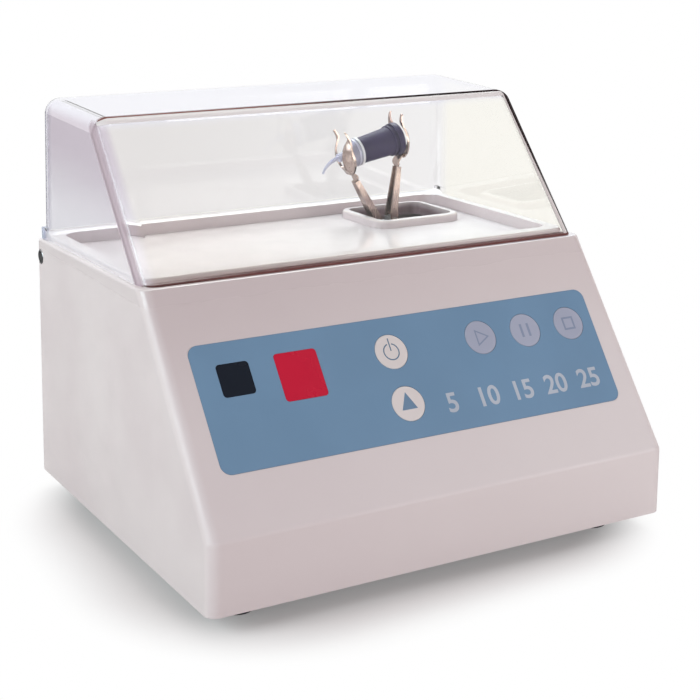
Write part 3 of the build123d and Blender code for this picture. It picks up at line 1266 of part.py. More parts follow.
def base_screws():
    return [rod(SCREW_R, (x, y, BASE_LOW), (x, y, BASE_TOP + 12))
            + rod(SCREW_HEAD_R, (x, y, BASE_LOW - SCREW_HEAD), (x, y, BASE_LOW)) for x, y in POSTS]


def feet():
    """Rubber feet, tapered to the bench, with a sunk screw seat."""
    made = []
    for x, y in FEET:
        profile = Plane.XZ * make_face(Polyline(
            (FOOT_SCREW_R, FOOT_SEAT), (FOOT_SCREW_R, BASE_LOW), (FOOT_TOP_R, BASE_LOW),
            (FOOT_TOP_R, BASE_LOW - FOOT_BAND), (FOOT_BOTTOM_R, FOOT_EDGE), (FOOT_BOTTOM_R - FOOT_EDGE, 0),
            (FOOT_WELL_R, 0), (FOOT_WELL_R, FOOT_SEAT), close=True))
        made.append(Pos(x, y, 0) * revolve(profile, Axis.Z))
    return made


def foot_screws():
    return [rod(FOOT_SCREW_R, (x, y, FOOT_SEAT), (x, y, BASE_TOP + FOOT_NUT + SCREW_HEAD / 2))
            + rod(FOOT_HEAD_R, (x, y, FOOT_SEAT / 2), (x, y, FOOT_SEAT)) for x, y in FEET]


def foot_nuts():
    return [Pos(x, y, BASE_TOP) * extrude(RegularPolygon(2 * FOOT_SCREW_R, 6), amount=FOOT_NUT)
            - rod(FOOT_SCREW_R, (x, y, 0), (x, y, LONG)) for x, y in FEET]


def transformer_core():
    """Laminated core with two windows for the winding."""
    wide, deep, high = TRANSFORMER_WIDTH, TRANSFORMER_DEPTH, TRANSFORMER_HEIGHT
    core = Pos(TRANSFORMER_X, TRANSFORMER_Y, BASE_TOP + high / 2) * Box(wide, deep * 0.5, high)
    for side in (-1, 1):
        core -= Pos(TRANSFORMER_X + side * wide * 0.25, TRANSFORMER_Y, BASE_TOP + high / 2) * Box(
            wide * 0.18, deep, high * 0.64)
    return core


def transformer_winding():
    """Wound bobbin round the core's middle limb."""
    wide, deep, high = TRANSFORMER_WIDTH, TRANSFORMER_DEPTH, TRANSFORMER_HEIGHT
    centre = Pos(TRANSFORMER_X, TRANSFORMER_Y, BASE_TOP + high / 2)
    wound = centre * Box(wide * 0.66, deep, high * 0.62)
    wound = fillet(edges_at(wound, lambda p, e: abs(e.tangent_at(0.5).Z) > 0.9), deep / 11)
    return wound - centre * Box(wide * 0.32, deep * 0.5, high)


def supply_posts():
    reach_x = SUPPLY_WIDTH / 2 - SUPPLY_SCREW_EDGE
    reach_y = SUPPLY_DEPTH / 2 - SUPPLY_SCREW_EDGE
    return [(SUPPLY_X + i * reach_x, SUPPLY_Y + j * reach_y) for i in (-1, 1) for j in (-1, 1)]


def supply_board():
    half_x, half_y = SUPPLY_WIDTH / 2, SUPPLY_DEPTH / 2
    z0 = BASE_TOP + SUPPLY_STANDOFF
    board = block(SUPPLY_X - half_x, SUPPLY_X + half_x, SUPPLY_Y - half_y, SUPPLY_Y + half_y, z0,
                  z0 + BOARD_THICK)
    for x, y in supply_posts():
        board -= rod(SCREW_R, (x, y, z0 - 1), (x, y, z0 + 3))
    return board


def supply_standoffs():
    """Spacers between base plate and supply board, each with its screw."""
    z0, z1 = BASE_TOP, BASE_TOP + SUPPLY_STANDOFF
    top = z1 + BOARD_THICK
    return [rod(SCREW_R, (x, y, BASE_LOW), (x, y, top)) + rod(STANDOFF_R, (x, y, z0), (x, y, z1))
            + rod(SCREW_HEAD_R, (x, y, top), (x, y, top + SCREW_HEAD)) for x, y in supply_posts()]


def supply_parts():
    """Smoothing capacitors and the finned heat sink of the motor driver."""
    z0 = BASE_TOP + SUPPLY_STANDOFF + BOARD_THICK
    x = SUPPLY_X - CAPACITOR_TO_MIDDLE
    made = []
    for y in (SUPPLY_Y - CAPACITOR_SPREAD, SUPPLY_Y + CAPACITOR_SPREAD):
        made.append(rod(CAPACITOR_R, (x, y, z0), (x, y, z0 + CAPACITOR_HEIGHT)))
    x0, x1 = SUPPLY_X + SINK_TO_MIDDLE - SINK_WIDTH / 2, SUPPLY_X + SINK_TO_MIDDLE + SINK_WIDTH / 2
    y0 = SUPPLY_Y - (SINK_PITCH * (SINK_FINS - 1) + SINK_FIN) / 2
    sink = block(x0, x1, y0, 2 * SUPPLY_Y - y0, z0, z0 + SINK_BASE)
    for fin in range(SINK_FINS):
        y = y0 + fin * SINK_PITCH
        sink += block(x0, x1, y, y + SINK_FIN, z0, z0 + SINK_HEIGHT)
    return made + [sink]


# ------------------------------------------------------------------ mains inlet
def inlet_body():
    """Flanged mains inlet with its socket and, under it, the fuse drawer's bay."""
    z = above_edge(INLET_HEIGHT)
    half_w, half_h = INLET_FLANGE_WIDTH / 2, INLET_FLANGE_HEIGHT / 2
    body = block(INLET_X - half_w, INLET_X + half_w, REAR - INLET_FLANGE, REAR, z - half_h, z + half_h)
    body = fillet(edges_at(body, lambda p, e: abs(e.tangent_at(0.5).Y) > 0.9), 3)
    body += block(INLET_X - INLET_BODY_WIDTH / 2, INLET_X + INLET_BODY_WIDTH / 2, REAR - INLET_BODY_DEPTH,
                  REAR - INLET_FLANGE, z - INLET_BODY_HEIGHT / 2, z + INLET_BODY_HEIGHT / 2)
    socket = block(INLET_X - SOCKET_WIDTH / 2, INLET_X + SOCKET_WIDTH / 2, REAR - SOCKET_DEPTH, REAR + 1,
                   z + SOCKET_RAISE - SOCKET_HEIGHT / 2, z + SOCKET_RAISE + SOCKET_HEIGHT / 2)
    upper = edges_at(socket, lambda p, e: abs(e.tangent_at(0.5).Y) > 0.9 and p.Z > z + SOCKET_RAISE)
    body -= chamfer(upper, SOCKET_CHAMFER)
    body -= drawer_space(DRAWER_GAP)
    for pin in inlet_pins():
        body -= pin
    for x in inlet_screw_xs():
        body -= rod(SCREW_R, (x, REAR - 2 * CASE_WALL, z), (x, REAR + 1, z))
        body -= rod(SCREW_SINK_R, (x, REAR - INLET_FLANGE + 0.6, z), (x, REAR + 1, z))
    return body


def drawer_space(gap):
    z = above_edge(INLET_HEIGHT) - DRAWER_DROP
    half_w, half_h = DRAWER_WIDTH / 2 + gap, DRAWER_HEIGHT / 2 + gap
    return block(INLET_X - half_w, INLET_X + half_w, REAR - DRAWER_LENGTH - gap, REAR + gap,
                 z - half_h, z + half_h)


def inlet_pins():
    """Three flat pins of the mains inlet."""
    middle = above_edge(INLET_HEIGHT) + SOCKET_RAISE
    back, tip = REAR - INLET_BODY_DEPTH, REAR - PIN_INSET
    pins = []
    for place in (-1, 0, 1):
        x, z = INLET_X + place * PIN_PITCH, middle + PIN_RISE * (1 - 2 * abs(place))
        pins.append(block(x - PIN_THICK / 2, x + PIN_THICK / 2, back, tip, z - PIN_THICK, z + PIN_THICK))
    return pins


def fuse_drawer():
    """Pull-out drawer for the fuse, with a finger notch in its face."""
    drawer = drawer_space(0)
    z = above_edge(INLET_HEIGHT) - DRAWER_DROP
    half, room, y = FUSE_LENGTH / 2 + 2 * DRAWER_GAP, FUSE_R + FUSE_ROOM, fuse_y()
    drawer -= block(INLET_X - half, INLET_X + half, y - room, y + room, z - FUSE_R, z + DRAWER_HEIGHT)
    drawer -= block(INLET_X - NOTCH_WIDTH / 2, INLET_X + NOTCH_WIDTH / 2, REAR - NOTCH_DEPTH, REAR + 1,
                    z + DRAWER_HEIGHT / 2 - NOTCH_HEIGHT, z + DRAWER_HEIGHT)
    return drawer


def fuse_y():
    return REAR - DRAWER_LENGTH + 2 * FUSE_R + 2 * FUSE_ROOM


def fuse():
    z = above_edge(INLET_HEIGHT) - DRAWER_DROP
    half, y = FUSE_LENGTH / 2, fuse_y()
    return rod(FUSE_R, (INLET_X - half, y, z), (INLET_X + half, y, z))


def inlet_screws():
    z = above_edge(INLET_HEIGHT)
    return [rod(SCREW_R, (x, REAR - CASE_WALL - 3, z), (x, REAR - INLET_FLANGE + 0.6, z))
            + rod(SCREW_SINK_R, (x, REAR - INLET_FLANGE + 0.6, z), (x, REAR, z)) for x in inlet_screw_xs()]


# ------------------------------------------------------------------ write the pieces
def save(name, shape):
    if isinstance(shape, list):
        shape = Compound(children=[s.solid() if len(s.solids()) == 1 else s for s in shape])
    export_step(shape, f"parts/{name}.step")


def main():
    save("case", case())
    save("hood", hood())
    save("hood_magnet", hood_magnet())
    save("hood_sensor", hood_sensor())
    save("hinge_pins", [hinge_pin(-1), hinge_pin(1)])
    save("panel_sheet", panel_sheet())
    for name, (x, s) in KEYS.items():
        save(name, key(x, s))
    save("display_window", window(DISPLAY_X, DISPLAY_S, DISPLAY_WIDTH, DISPLAY_HEIGHT))
    save("indicator_window", window(INDICATOR_X, INDICATOR_S, INDICATOR_WIDTH, INDICATOR_HEIGHT))
    save("control_board", control_board())
    save("board_screws", board_screws())
    save("key_switches", key_switches())
    save("display_units", [display_unit(), indicator_lamp()])
    save("controller_chips", controller_chips())
    save("motor_shaft", motor_shaft())
    save("oblique_sleeve", oblique_sleeve())
    save("bearing_inner_ring", bearing_inner_ring())
    save("bearing_outer_ring", bearing_outer_ring())
    save("bearing_balls", bearing_balls())
    save("bearing_cage", bearing_cage())
    save("bearing_circlip", bearing_circlip())
    save("fork_hub", fork_hub())
    save("arm_rivets", arm_rivets())
    for name, side in (("left", -1), ("right", 1)):
        save(f"{name}_arm", arm(side))
        save(f"{name}_jaw", jaw(side))
    save("capsule_body", capsule_body())
    save("capsule_seal", capsule_seal())
    save("capsule_cap", capsule_cap())
    save("motor_can", motor_can())
    save("motor_end_caps", motor_end_caps())
    save("stator", stator())
    save("rotor_core", rotor_core())
    save("motor_screws", motor_screws())
    save("cradle", cradle())
    save("outboard_bush", outboard_bush())
    save("rubber_mounts", rubber_mounts())
    save("mount_screws", mount_screws())
    save("spring_posts", spring_posts())
    save("steady_springs", steady_springs())
    save("base_plate", base_plate())
    save("base_screws", base_screws())
    save("feet", feet())
    save("foot_screws", foot_screws())
    save("foot_nuts", foot_nuts())
    save("transformer_core", transformer_core())
    save("transformer_winding", transformer_winding())
    save("supply_board", supply_board())
    save("supply_standoffs", supply_standoffs())
    save("supply_parts", supply_parts())
    save("inlet_body", inlet_body())
    save("inlet_pins", inlet_pins())
    save("fuse_drawer", fuse_drawer())
    save("fuse", fuse())
    save("inlet_screws", inlet_screws())


main()
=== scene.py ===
"""Looks of the dental amalgamator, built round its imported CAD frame.  Metres, +Z up."""
import json
from math import cos, radians, sin

import bpy
from mathutils import Matrix, Vector


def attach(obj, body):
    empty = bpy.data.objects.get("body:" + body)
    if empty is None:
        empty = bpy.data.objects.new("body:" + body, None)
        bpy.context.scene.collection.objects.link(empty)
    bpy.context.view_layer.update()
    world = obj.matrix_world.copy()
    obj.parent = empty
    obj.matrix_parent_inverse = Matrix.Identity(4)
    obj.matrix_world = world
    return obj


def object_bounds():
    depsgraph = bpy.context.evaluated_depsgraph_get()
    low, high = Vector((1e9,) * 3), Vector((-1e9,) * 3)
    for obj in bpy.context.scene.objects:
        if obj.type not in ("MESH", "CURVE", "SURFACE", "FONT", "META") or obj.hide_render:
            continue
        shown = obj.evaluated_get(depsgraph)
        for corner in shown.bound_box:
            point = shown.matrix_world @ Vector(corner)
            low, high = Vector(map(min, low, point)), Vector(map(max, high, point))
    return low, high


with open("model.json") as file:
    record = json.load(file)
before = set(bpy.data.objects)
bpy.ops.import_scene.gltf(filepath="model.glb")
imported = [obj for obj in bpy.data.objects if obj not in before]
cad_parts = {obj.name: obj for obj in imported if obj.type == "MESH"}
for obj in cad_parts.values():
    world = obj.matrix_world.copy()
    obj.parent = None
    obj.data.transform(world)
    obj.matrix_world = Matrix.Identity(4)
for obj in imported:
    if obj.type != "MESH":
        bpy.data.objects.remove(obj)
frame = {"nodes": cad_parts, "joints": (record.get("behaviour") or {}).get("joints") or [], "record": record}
CAD_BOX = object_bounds()

MM = 0.001

# ------------------------------------------------------------------ camera
VIEW_AZIMUTH = radians(-30.63)
VIEW_ELEVATION = radians(17.02)
VIEW_ROLL = radians(0.79)
VIEW_DISTANCE = 0.677
VIEW_LENS = 81.26            # mm
VIEW_SENSOR = 36             # mm, square
VIEW_TARGET = Vector((-0.0080, -0.0189, 0.0807))


def add_camera():
    """The photograph's viewpoint."""
    back = Vector((sin(VIEW_AZIMUTH) * cos(VIEW_ELEVATION), -cos(VIEW_AZIMUTH) * cos(VIEW_ELEVATION),
                   sin(VIEW_ELEVATION)))
    level = (-back).cross(Vector((0, 0, 1))).normalized()
    above = level.cross(-back)
    right = level * cos(VIEW_ROLL) + above * sin(VIEW_ROLL)
    up = above * cos(VIEW_ROLL) - level * sin(VIEW_ROLL)
    data = bpy.data.cameras.new("camera")
    data.lens = VIEW_LENS
    data.sensor_width = VIEW_SENSOR
    camera = bpy.data.objects.new("camera", data)
    place = Matrix((right, up, back)).transposed().to_4x4()
    place.translation = VIEW_TARGET + back * VIEW_DISTANCE
    camera.matrix_world = place
    bpy.context.scene.collection.objects.link(camera)
    bpy.context.scene.camera = camera


# ------------------------------------------------------------------ node helpers
def linear(red, green, blue):
    """A colour given as 0 to 255 display values, as Blender's linear RGBA."""
    shares = (red / 255, green / 255, blue / 255)
    return (*(((c + 0.055) / 1.055) ** 2.4 if c > 0.04 else c / 12.92 for c in shares), 1.0)


COLOUR_A, COLOUR_B, COLOUR_RESULT = 6, 7, 2      # a Mix node's sockets for colours


class Tree:
    """A material's node tree with short calls for what this scene uses."""

    def __init__(self, name):
        self.material = bpy.data.materials.new(name)
        self.material.use_nodes = True
        self.open(self.material.node_tree, "OutputMaterial")

    @classmethod
    def of_world(cls, world):
        tree = cls.__new__(cls)
        tree.material = world
        world.use_nodes = True
        tree.open(world.node_tree, "OutputWorld")
        return tree

    def open(self, node_tree, output):
        self.nodes, self.links = node_tree.nodes, node_tree.links
        self.nodes.clear()
        self.output = self.nodes.new("ShaderNode" + output)
        where = "Object" if output == "OutputMaterial" else "Generated"
        self.where = self.nodes.new("ShaderNodeTexCoord").outputs[where]

    def add(self, kind, **values):
        node = self.nodes.new("ShaderNode" + kind)
        for key, value in values.items():
            if key in node.inputs:
                self.feed(node.inputs[key], value)
            else:
                setattr(node, key, value)
        return node

    def feed(self, socket, value):
        if isinstance(value, bpy.types.NodeSocket):
            self.links.new(value, socket)
        else:
            socket.default_value = value

    def stretched(self, scale):
        node = self.add("Mapping")
        self.feed(node.inputs["Vector"], self.where)
        node.inputs["Scale"].default_value = scale
        return node.outputs["Vector"]

    def noise(self, scale, detail=3.0, where=None):
        node = self.add("TexNoise", Scale=scale, Detail=detail)
        self.feed(node.inputs["Vector"], where or self.where)
        return node.outputs["Fac"]

    def ramp(self, value, low, high, start=0, end=1):
        """A value from low..high taken smoothly to start..end."""
        node = self.add("MapRange", interpolation_type="SMOOTHSTEP")
        self.feed(node.inputs["Value"], value)
        for key, number in (("From Min", low), ("From Max", high), ("To Min", start), ("To Max", end)):
            self.feed(node.inputs[key], number)
        return node.outputs["Result"]

    def maths(self, operation, first, second=None):
        node = self.add("Math", operation=operation)
        self.feed(node.inputs[0], first)
        if second is not None:
            self.feed(node.inputs[1], second)
        return node.outputs["Value"]

    def chain(self, operation, first, *others):
        """One two-sided operation, such as MULTIPLY, over a row of values."""
        for other in others:
            first = self.maths(operation, first, other)
        return first

    def blend(self, share, first, second):
        node = self.add("Mix", data_type="RGBA")
        self.feed(node.inputs["Factor"], share)
        self.feed(node.inputs[COLOUR_A], first)
        self.feed(node.inputs[COLOUR_B], second)
        return node.outputs[COLOUR_RESULT]

    def vector(self, operation, first, second=None):
        node = self.add("VectorMath", operation=operation)
        self.feed(node.inputs[0], first)
        if second is not None:
            self.feed(node.inputs[1], second)
        scalar = operation in ("DOT_PRODUCT", "DISTANCE", "LENGTH")
        return node.outputs["Value" if scalar else "Vector"]

    def bump(self, height, distance, under=None):
        node = self.add("Bump", Strength=1.0, Distance=distance)
        self.feed(node.inputs["Height"], height)
        if under is not None:
            self.feed(node.inputs["Normal"], under)
        return node.outputs["Normal"]

    def axis(self, letter):
        node = self.add("SeparateXYZ")
        self.feed(node.inputs["Vector"], self.where)
        return node.outputs[letter]

    def sight(self):
        """Two yes-or-no values: is this a glossy ray, and does the camera see along it, also through glass."""
        path = self.add("LightPath")
        first = self.maths("LESS_THAN", path.outputs["Diffuse Depth"], 0.5)
        through = self.maths("MULTIPLY", path.outputs["Is Transmission Ray"], first)
        return path.outputs["Is Glossy Ray"], self.maths("MAXIMUM", path.outputs["Is Camera Ray"], through)

    def mixed(self, share, first, second):
        """Two shaders mixed: the share belongs to the second."""
        node = self.add("MixShader")
        for socket, value in zip(node.inputs, (share, first, second)):
            self.feed(socket, value)
        return node.outputs["Shader"]

    def finish(self, shader):
        self.links.new(shader, self.output.inputs["Surface"])
        return self.material


NOISE_SPAN = (0.3, 0.7)      # most of a noise's values lie between these


def moulded(name, colour, rough, grain, grain_scale, tint, specular=0.5):
    """Moulded or printed plastic: faint mottling, a fine grain and uneven gloss."""
    tree = Tree(name)
    shade = tuple(c * (1 - 2 * tint) for c in colour[:3]) + (1.0,)
    mottle = tree.ramp(tree.noise(22, 5), *NOISE_SPAN)
    base = tree.blend(mottle, colour, shade)
    gloss = tree.ramp(tree.noise(60, 4), *NOISE_SPAN, *rough)
    shader = tree.add("BsdfPrincipled", Roughness=gloss, **{"Specular IOR Level": specular})
    tree.feed(shader.inputs["Base Color"], base)
    tree.feed(shader.inputs["Normal"], tree.bump(tree.noise(grain_scale, 2), grain))
    return tree.finish(shader.outputs["BSDF"])


def metal(name, colour, rough, along, scratch=0.00001, tarnish_and_shade=0.25, dark=None):
    """Worked metal: drawn-out brush marks, dark patches and uneven gloss; the patches are tarnish, but on the
    fork sheet painted shade.
    """
    tree = Tree(name)
    grain = tree.noise(1.0, 4, tree.stretched(along))
    patch = tree.ramp(tree.noise(90, 5), 0.42, 0.75, 0, tarnish_and_shade)
    dark = dark or tuple(c * 0.45 for c in colour[:3]) + (1.0,)
    shader = tree.add("BsdfPrincipled", Metallic=1.0, Roughness=tree.ramp(grain, *NOISE_SPAN, *rough))
    tree.feed(shader.inputs["Base Color"], tree.blend(patch, colour, dark))
    tree.feed(shader.inputs["Normal"], tree.bump(grain, scratch))
    return tree.finish(shader.outputs["BSDF"])


# ------------------------------------------------------------------ materials, one for each slot
FORK_SLOT = (0.0632, 0.0569, 0)              # middle of the slot in the deck
FORK_SLOT_HALF = (0.0208, 0.0172)
FORK_SLOT_DARK = (0.1165, 0.1195)            # z below which the slot's sides carry painted shade, and where that ends
CASE_SPAN = (-0.1, 0.1)                      # x over which the painted light and shade go from darker on the left to paler on the right
FRONT_SPAN = (0.07, 0.118)                   # z, the same for the front's painted shade, darker towards the top
FRONT_SHARE = 0.85                           # how much of the front's colour is that painted shade
WALL_FOOT = (0.113, 0.114)                   # z above which steep faces in the tray get painted shade
WALL_SIDE = (0.0985, 0.1)                    # x on both sides where that ends
WALL_FRONT = (-0.0215, -0.02)                # y behind which it begins
DECK_TINTED = (0.11, 0.112)                  # z above which level faces get the deck's painted light, paler towards the right
DECK_POLISHED = (0.112, 0.1175)              # z above which the moulding is polished


def case_shell(name):
    """Cream-grey moulding: satin sides with a fine grain and a polished deck, with painted shade on the front,
    the tray's steep sides and the slot, and painted light on the deck.
    """
    tree = Tree(name)
    base = tree.blend(tree.ramp(tree.noise(14, 5), *NOISE_SPAN), linear(232, 221, 220), linear(224, 211, 211))
    normal = tree.add("NewGeometry").outputs["Normal"]
    height = tree.axis("Z")
    # painted shade on the front faces: lit and shaded copies of the colour, darker to the left and towards the
    # top
    across = tree.ramp(tree.axis("X"), *CASE_SPAN)
    low = tree.blend(across, linear(230, 217, 218), linear(235, 225, 225))
    high = tree.blend(across, linear(217, 201, 202), linear(226, 212, 212))
    forward = tree.ramp(tree.vector("DOT_PRODUCT", normal, (0, -1, 0)), 0.3, 0.7, 0, FRONT_SHARE)
    base = tree.blend(forward, base, tree.blend(tree.ramp(height, *FRONT_SPAN), low, high))

    level = tree.vector("DOT_PRODUCT", normal, (0, 0, 1))
    side = tree.vector("DOT_PRODUCT", tree.vector("ABSOLUTE", tree.where), (1, 0, 0))
    # painted shade on the tray's steep sides
    tray_wall_shade = tree.chain("MULTIPLY", tree.ramp(level, 0.35, 0.85, 1, 0), tree.ramp(height, *WALL_FOOT),
                       tree.ramp(side, *WALL_SIDE, 1, 0), tree.ramp(tree.axis("Y"), *WALL_FRONT))
    base = tree.blend(tray_wall_shade, base, linear(214, 200, 203))
    # painted light on the deck, paler towards the right
    top = tree.chain("MULTIPLY", tree.ramp(level, 0.9, 0.97), across, tree.ramp(height, *DECK_TINTED))
    base = tree.blend(top, base, linear(240, 235, 240))

    # painted shade down in the fork's slot
    off = tree.vector("ABSOLUTE", tree.vector("SUBTRACT", tree.where, FORK_SLOT))
    slot = [tree.maths("LESS_THAN", tree.vector("DOT_PRODUCT", off, axis), half)
            for axis, half in zip(((1, 0, 0), (0, 1, 0)), FORK_SLOT_HALF)]
    slot_shade = tree.chain("MULTIPLY", *slot, tree.ramp(height, *FORK_SLOT_DARK, 1, 0))
    base = tree.blend(slot_shade, base, linear(146, 122, 130))

    deck = tree.ramp(height, *DECK_POLISHED)
    satin = tree.ramp(tree.noise(70, 4), *NOISE_SPAN, 0.36, 0.46)
    gloss = tree.ramp(deck, 0, 1, 0, 0.24)
    shader = tree.add("BsdfPrincipled", Roughness=tree.maths("SUBTRACT", satin, gloss))
    tree.feed(shader.inputs["Base Color"], base)
    grain = tree.maths("MULTIPLY", tree.noise(2400, 2), tree.ramp(deck, 0, 1, 1, 0.15))
    wave = tree.bump(tree.noise(9, 2), 0.00012)
    tree.feed(shader.inputs["Normal"], tree.bump(grain, 0.00004, under=wave))
    return tree.finish(shader.outputs["BSDF"])


HOOD_PANE_OUT = (0, -0.7525, 0.6586)         # away from the slanting front pane
HOOD_PANE_AT = 0.0995        # how far out along it the pane lies
HOOD_SIDE_OUT = (0.99953, 0, 0.0305)         # away from a side pane, for the half where x is positive
HOOD_SIDE_AT = 0.10914
HOOD_TOP_BEND = (0, 0.0279, 0.1800)          # where the front bend meets the top
HOOD_TOP_CORNER = (0, 0.0252, 0.1799)        # and the sharp edge that the bend rounds off
HOOD_CORNER_R = 0.007
HOOD_FOOT_FRONT = -0.0235    # y behind which the foot carries no painted shadow line
HOOD_FLANK_SPAN = (0.13, 0.168)              # z over which the left pane's painted shade deepens from low to high
HOOD_TOP_SPAN = (0.1745, 0.179)              # z over which the top's painted reflection sets in
HOOD_REAR_SPAN = (0.075, 0.085)              # y, the same for the rear pane
HOOD_REAR_BEND = (0.083, 0.0865)             # y, the same for the rear left bend
HOOD_SLANT_SPAN = (0.122, 0.175)             # z over which the painted dark reflection along the right slanting bend widens
HOOD_SLANT_FADE = (0.122, 0.15)              # z over which it reaches its full darkness
HOOD_TOP_LINE = (0.0013, 0.0020)             # from HOOD_TOP_BEND, where the painted dark reflection along the top ends
HOOD_BROW_LINE = (0.0026, 0.0031)            # from HOOD_TOP_CORNER, where the painted pale highlight strip ends
HOOD_FOOT_LINE = (0.0006, 0.0013)            # over the ledge, where the foot's painted shadow line ends
HOOD_DARK_LINE_SHARE = 0.96            # how much of the glass the painted dark lines cover
HOOD_BROW = 0.85             # how much of the glass the painted pale highlight strip under the dark top line covers
HOOD_BLUISH = linear(214, 217, 232)          # the rear left bend's painted bluish reflection
LEDGE_UP = (0, 0.02366, 0.99972)             # away from the sloping ledge
LEDGE_AT = 0.12031


def clear_hood(name):
    """Clear acrylic: nearly colourless panes tinted with painted reflection and shade, painted dark
    reflections along the top bend and the right slanting bend, a painted shadow line along the foot, and
    painted pale reflections on the bends and under the top line.
    """
    tree = Tree(name)
    glass = tree.add("BsdfPrincipled", IOR=1.49, Roughness=0.015)
    glass.inputs["Transmission Weight"].default_value = 1.0
    x, y, height = tree.axis("X"), tree.axis("Y"), tree.axis("Z")
    left = tree.maths("LESS_THAN", x, 0)
    side = tree.vector("DOT_PRODUCT", tree.vector("ABSOLUTE", tree.where), HOOD_SIDE_OUT)
    out = tree.vector("DOT_PRODUCT", tree.where, HOOD_PANE_OUT)
    flat = tree.vector("MULTIPLY", tree.where, (0, 1, 1))

    def near_side(start, end):
        """Rises to 1 between two depths under a side pane's outer face."""
        return tree.ramp(side, HOOD_SIDE_AT - start, HOOD_SIDE_AT - end)

    # painted reflection and shade on the panes: darker and warmer on the left of the front, greyer up the left
    # pane, bluish white on the top and rear, bluish grey on the rear left bend
    front = tree.blend(tree.ramp(x, *CASE_SPAN), linear(240, 237, 232), linear(255, 254, 250))
    flank = tree.blend(tree.ramp(height, *HOOD_FLANK_SPAN), linear(244, 243, 245), linear(220, 211, 218))
    pane = tree.blend(tree.maths("MULTIPLY", left, near_side(0.007, 0.003)), front, flank)
    rear, above = tree.ramp(y, *HOOD_REAR_SPAN), tree.ramp(height, *HOOD_TOP_SPAN)
    pane = tree.blend(tree.maths("MAXIMUM", rear, above), pane, linear(247, 247, 252))
    corner = tree.chain("MULTIPLY", tree.ramp(y, *HOOD_REAR_BEND), near_side(0.006, 0.002), left)
    pane = tree.blend(corner, pane, HOOD_BLUISH)
    tree.feed(glass.inputs["Base Color"], pane)
    tree.feed(glass.inputs["Normal"], tree.bump(tree.noise(5, 2), 0.00008))

    # the outer skin of the slanting bends, and the painted dark reflection on the right one
    centre = (HOOD_SIDE_AT - HOOD_CORNER_R, HOOD_PANE_AT - HOOD_CORNER_R, 0)
    bent = tree.vector("DISTANCE", tree.add("CombineXYZ", X=side, Y=out).outputs["Vector"], centre)
    skin = tree.maths("MULTIPLY", tree.ramp(bent, HOOD_CORNER_R - 0.0012, HOOD_CORNER_R - 0.0008),
                      tree.ramp(out, HOOD_PANE_AT - 0.0036, HOOD_PANE_AT - 0.0028))
    arc = tree.maths("MULTIPLY", skin, near_side(0.0068, 0.0056))
    reach = tree.ramp(height, *HOOD_SLANT_SPAN, HOOD_SIDE_AT - 0.0036, HOOD_SIDE_AT - 0.0050)
    slant = tree.maths("MULTIPLY", skin, tree.ramp(tree.maths("SUBTRACT", side, reach), -0.0004, 0.0004))
    dark = tree.chain("MULTIPLY", slant, tree.maths("SUBTRACT", 1.0, left),
                      tree.ramp(height, *HOOD_SLANT_FADE, 0.5, 1))

    # the painted dark reflection where the front bend meets the top, and the painted shadow line along the
    # foot
    bend = tree.vector("DISTANCE", flat, HOOD_TOP_BEND)
    top = tree.maths("MULTIPLY", tree.ramp(bend, *HOOD_TOP_LINE, 1, 0), tree.ramp(x, -0.09, 0.08, 0.45, 1))
    rise = tree.vector("DOT_PRODUCT", tree.where, LEDGE_UP)
    foot = tree.chain("MULTIPLY", tree.ramp(rise, *(LEDGE_AT + up for up in HOOD_FOOT_LINE), 1, 0),
                      tree.ramp(y, HOOD_FOOT_FRONT, HOOD_FOOT_FRONT + 0.003, 1, 0),
                      tree.ramp(x, -0.1, -0.04, 0.35, 0.9))
    painted_dark_lines = tree.chain("MAXIMUM", dark, top, foot)

    # painted pale reflections: a band on the left bend, a highlight strip under the dark top line, the right
    # bend's outer skin and the rear left bend
    brow = tree.ramp(tree.vector("DISTANCE", flat, HOOD_TOP_CORNER), *HOOD_BROW_LINE, HOOD_BROW, 0)
    brow = tree.maths("MAXIMUM", brow, tree.maths("MULTIPLY", arc, tree.maths("SUBTRACT", HOOD_BROW, left)))
    painted_pale_bands = tree.ramp(side, HOOD_SIDE_AT - 0.003, HOOD_SIDE_AT - 0.0005, 0, 0.75)
    painted_pale_bands = tree.chain("MULTIPLY", painted_pale_bands, left, tree.ramp(out, HOOD_PANE_AT - 0.0078, HOOD_PANE_AT - 0.0060))
    painted_pale_bands = tree.chain("MAXIMUM", painted_pale_bands, brow, tree.maths("MULTIPLY", corner, 0.45))

    # colours of the painted dark lines: browner on the left and along the foot's painted shadow
    brown = tree.blend(tree.ramp(x, -0.06, 0.06), linear(132, 78, 72), linear(34, 14, 18))
    brown = tree.blend(tree.ramp(foot, 0.1, 0.3), brown, linear(118, 76, 74))
    pale_band_colour = tree.blend(corner, linear(188, 168, 176), HOOD_BLUISH)
    pale_band_colour = tree.blend(tree.ramp(brow, 0.1, 0.5), pale_band_colour, linear(240, 231, 230))
    painted_line_shader = tree.add("BsdfDiffuse", Color=tree.blend(tree.ramp(painted_dark_lines, 0.05, 0.3), pale_band_colour, brown))
    share = tree.maths("MAXIMUM", tree.maths("MULTIPLY", painted_dark_lines, HOOD_DARK_LINE_SHARE), painted_pale_bands)
    body = tree.mixed(share, glass.outputs["BSDF"], painted_line_shader.outputs["BSDF"])

    # light that passes through to cast a shadow is only tinted
    tint = tree.blend(painted_dark_lines, linear(246, 245, 246), linear(190, 175, 175))
    through = tree.add("BsdfTransparent", Color=tint)
    shadow = tree.add("LightPath").outputs["Is Shadow Ray"]
    return tree.finish(tree.mixed(shadow, body, through.outputs["BSDF"]))


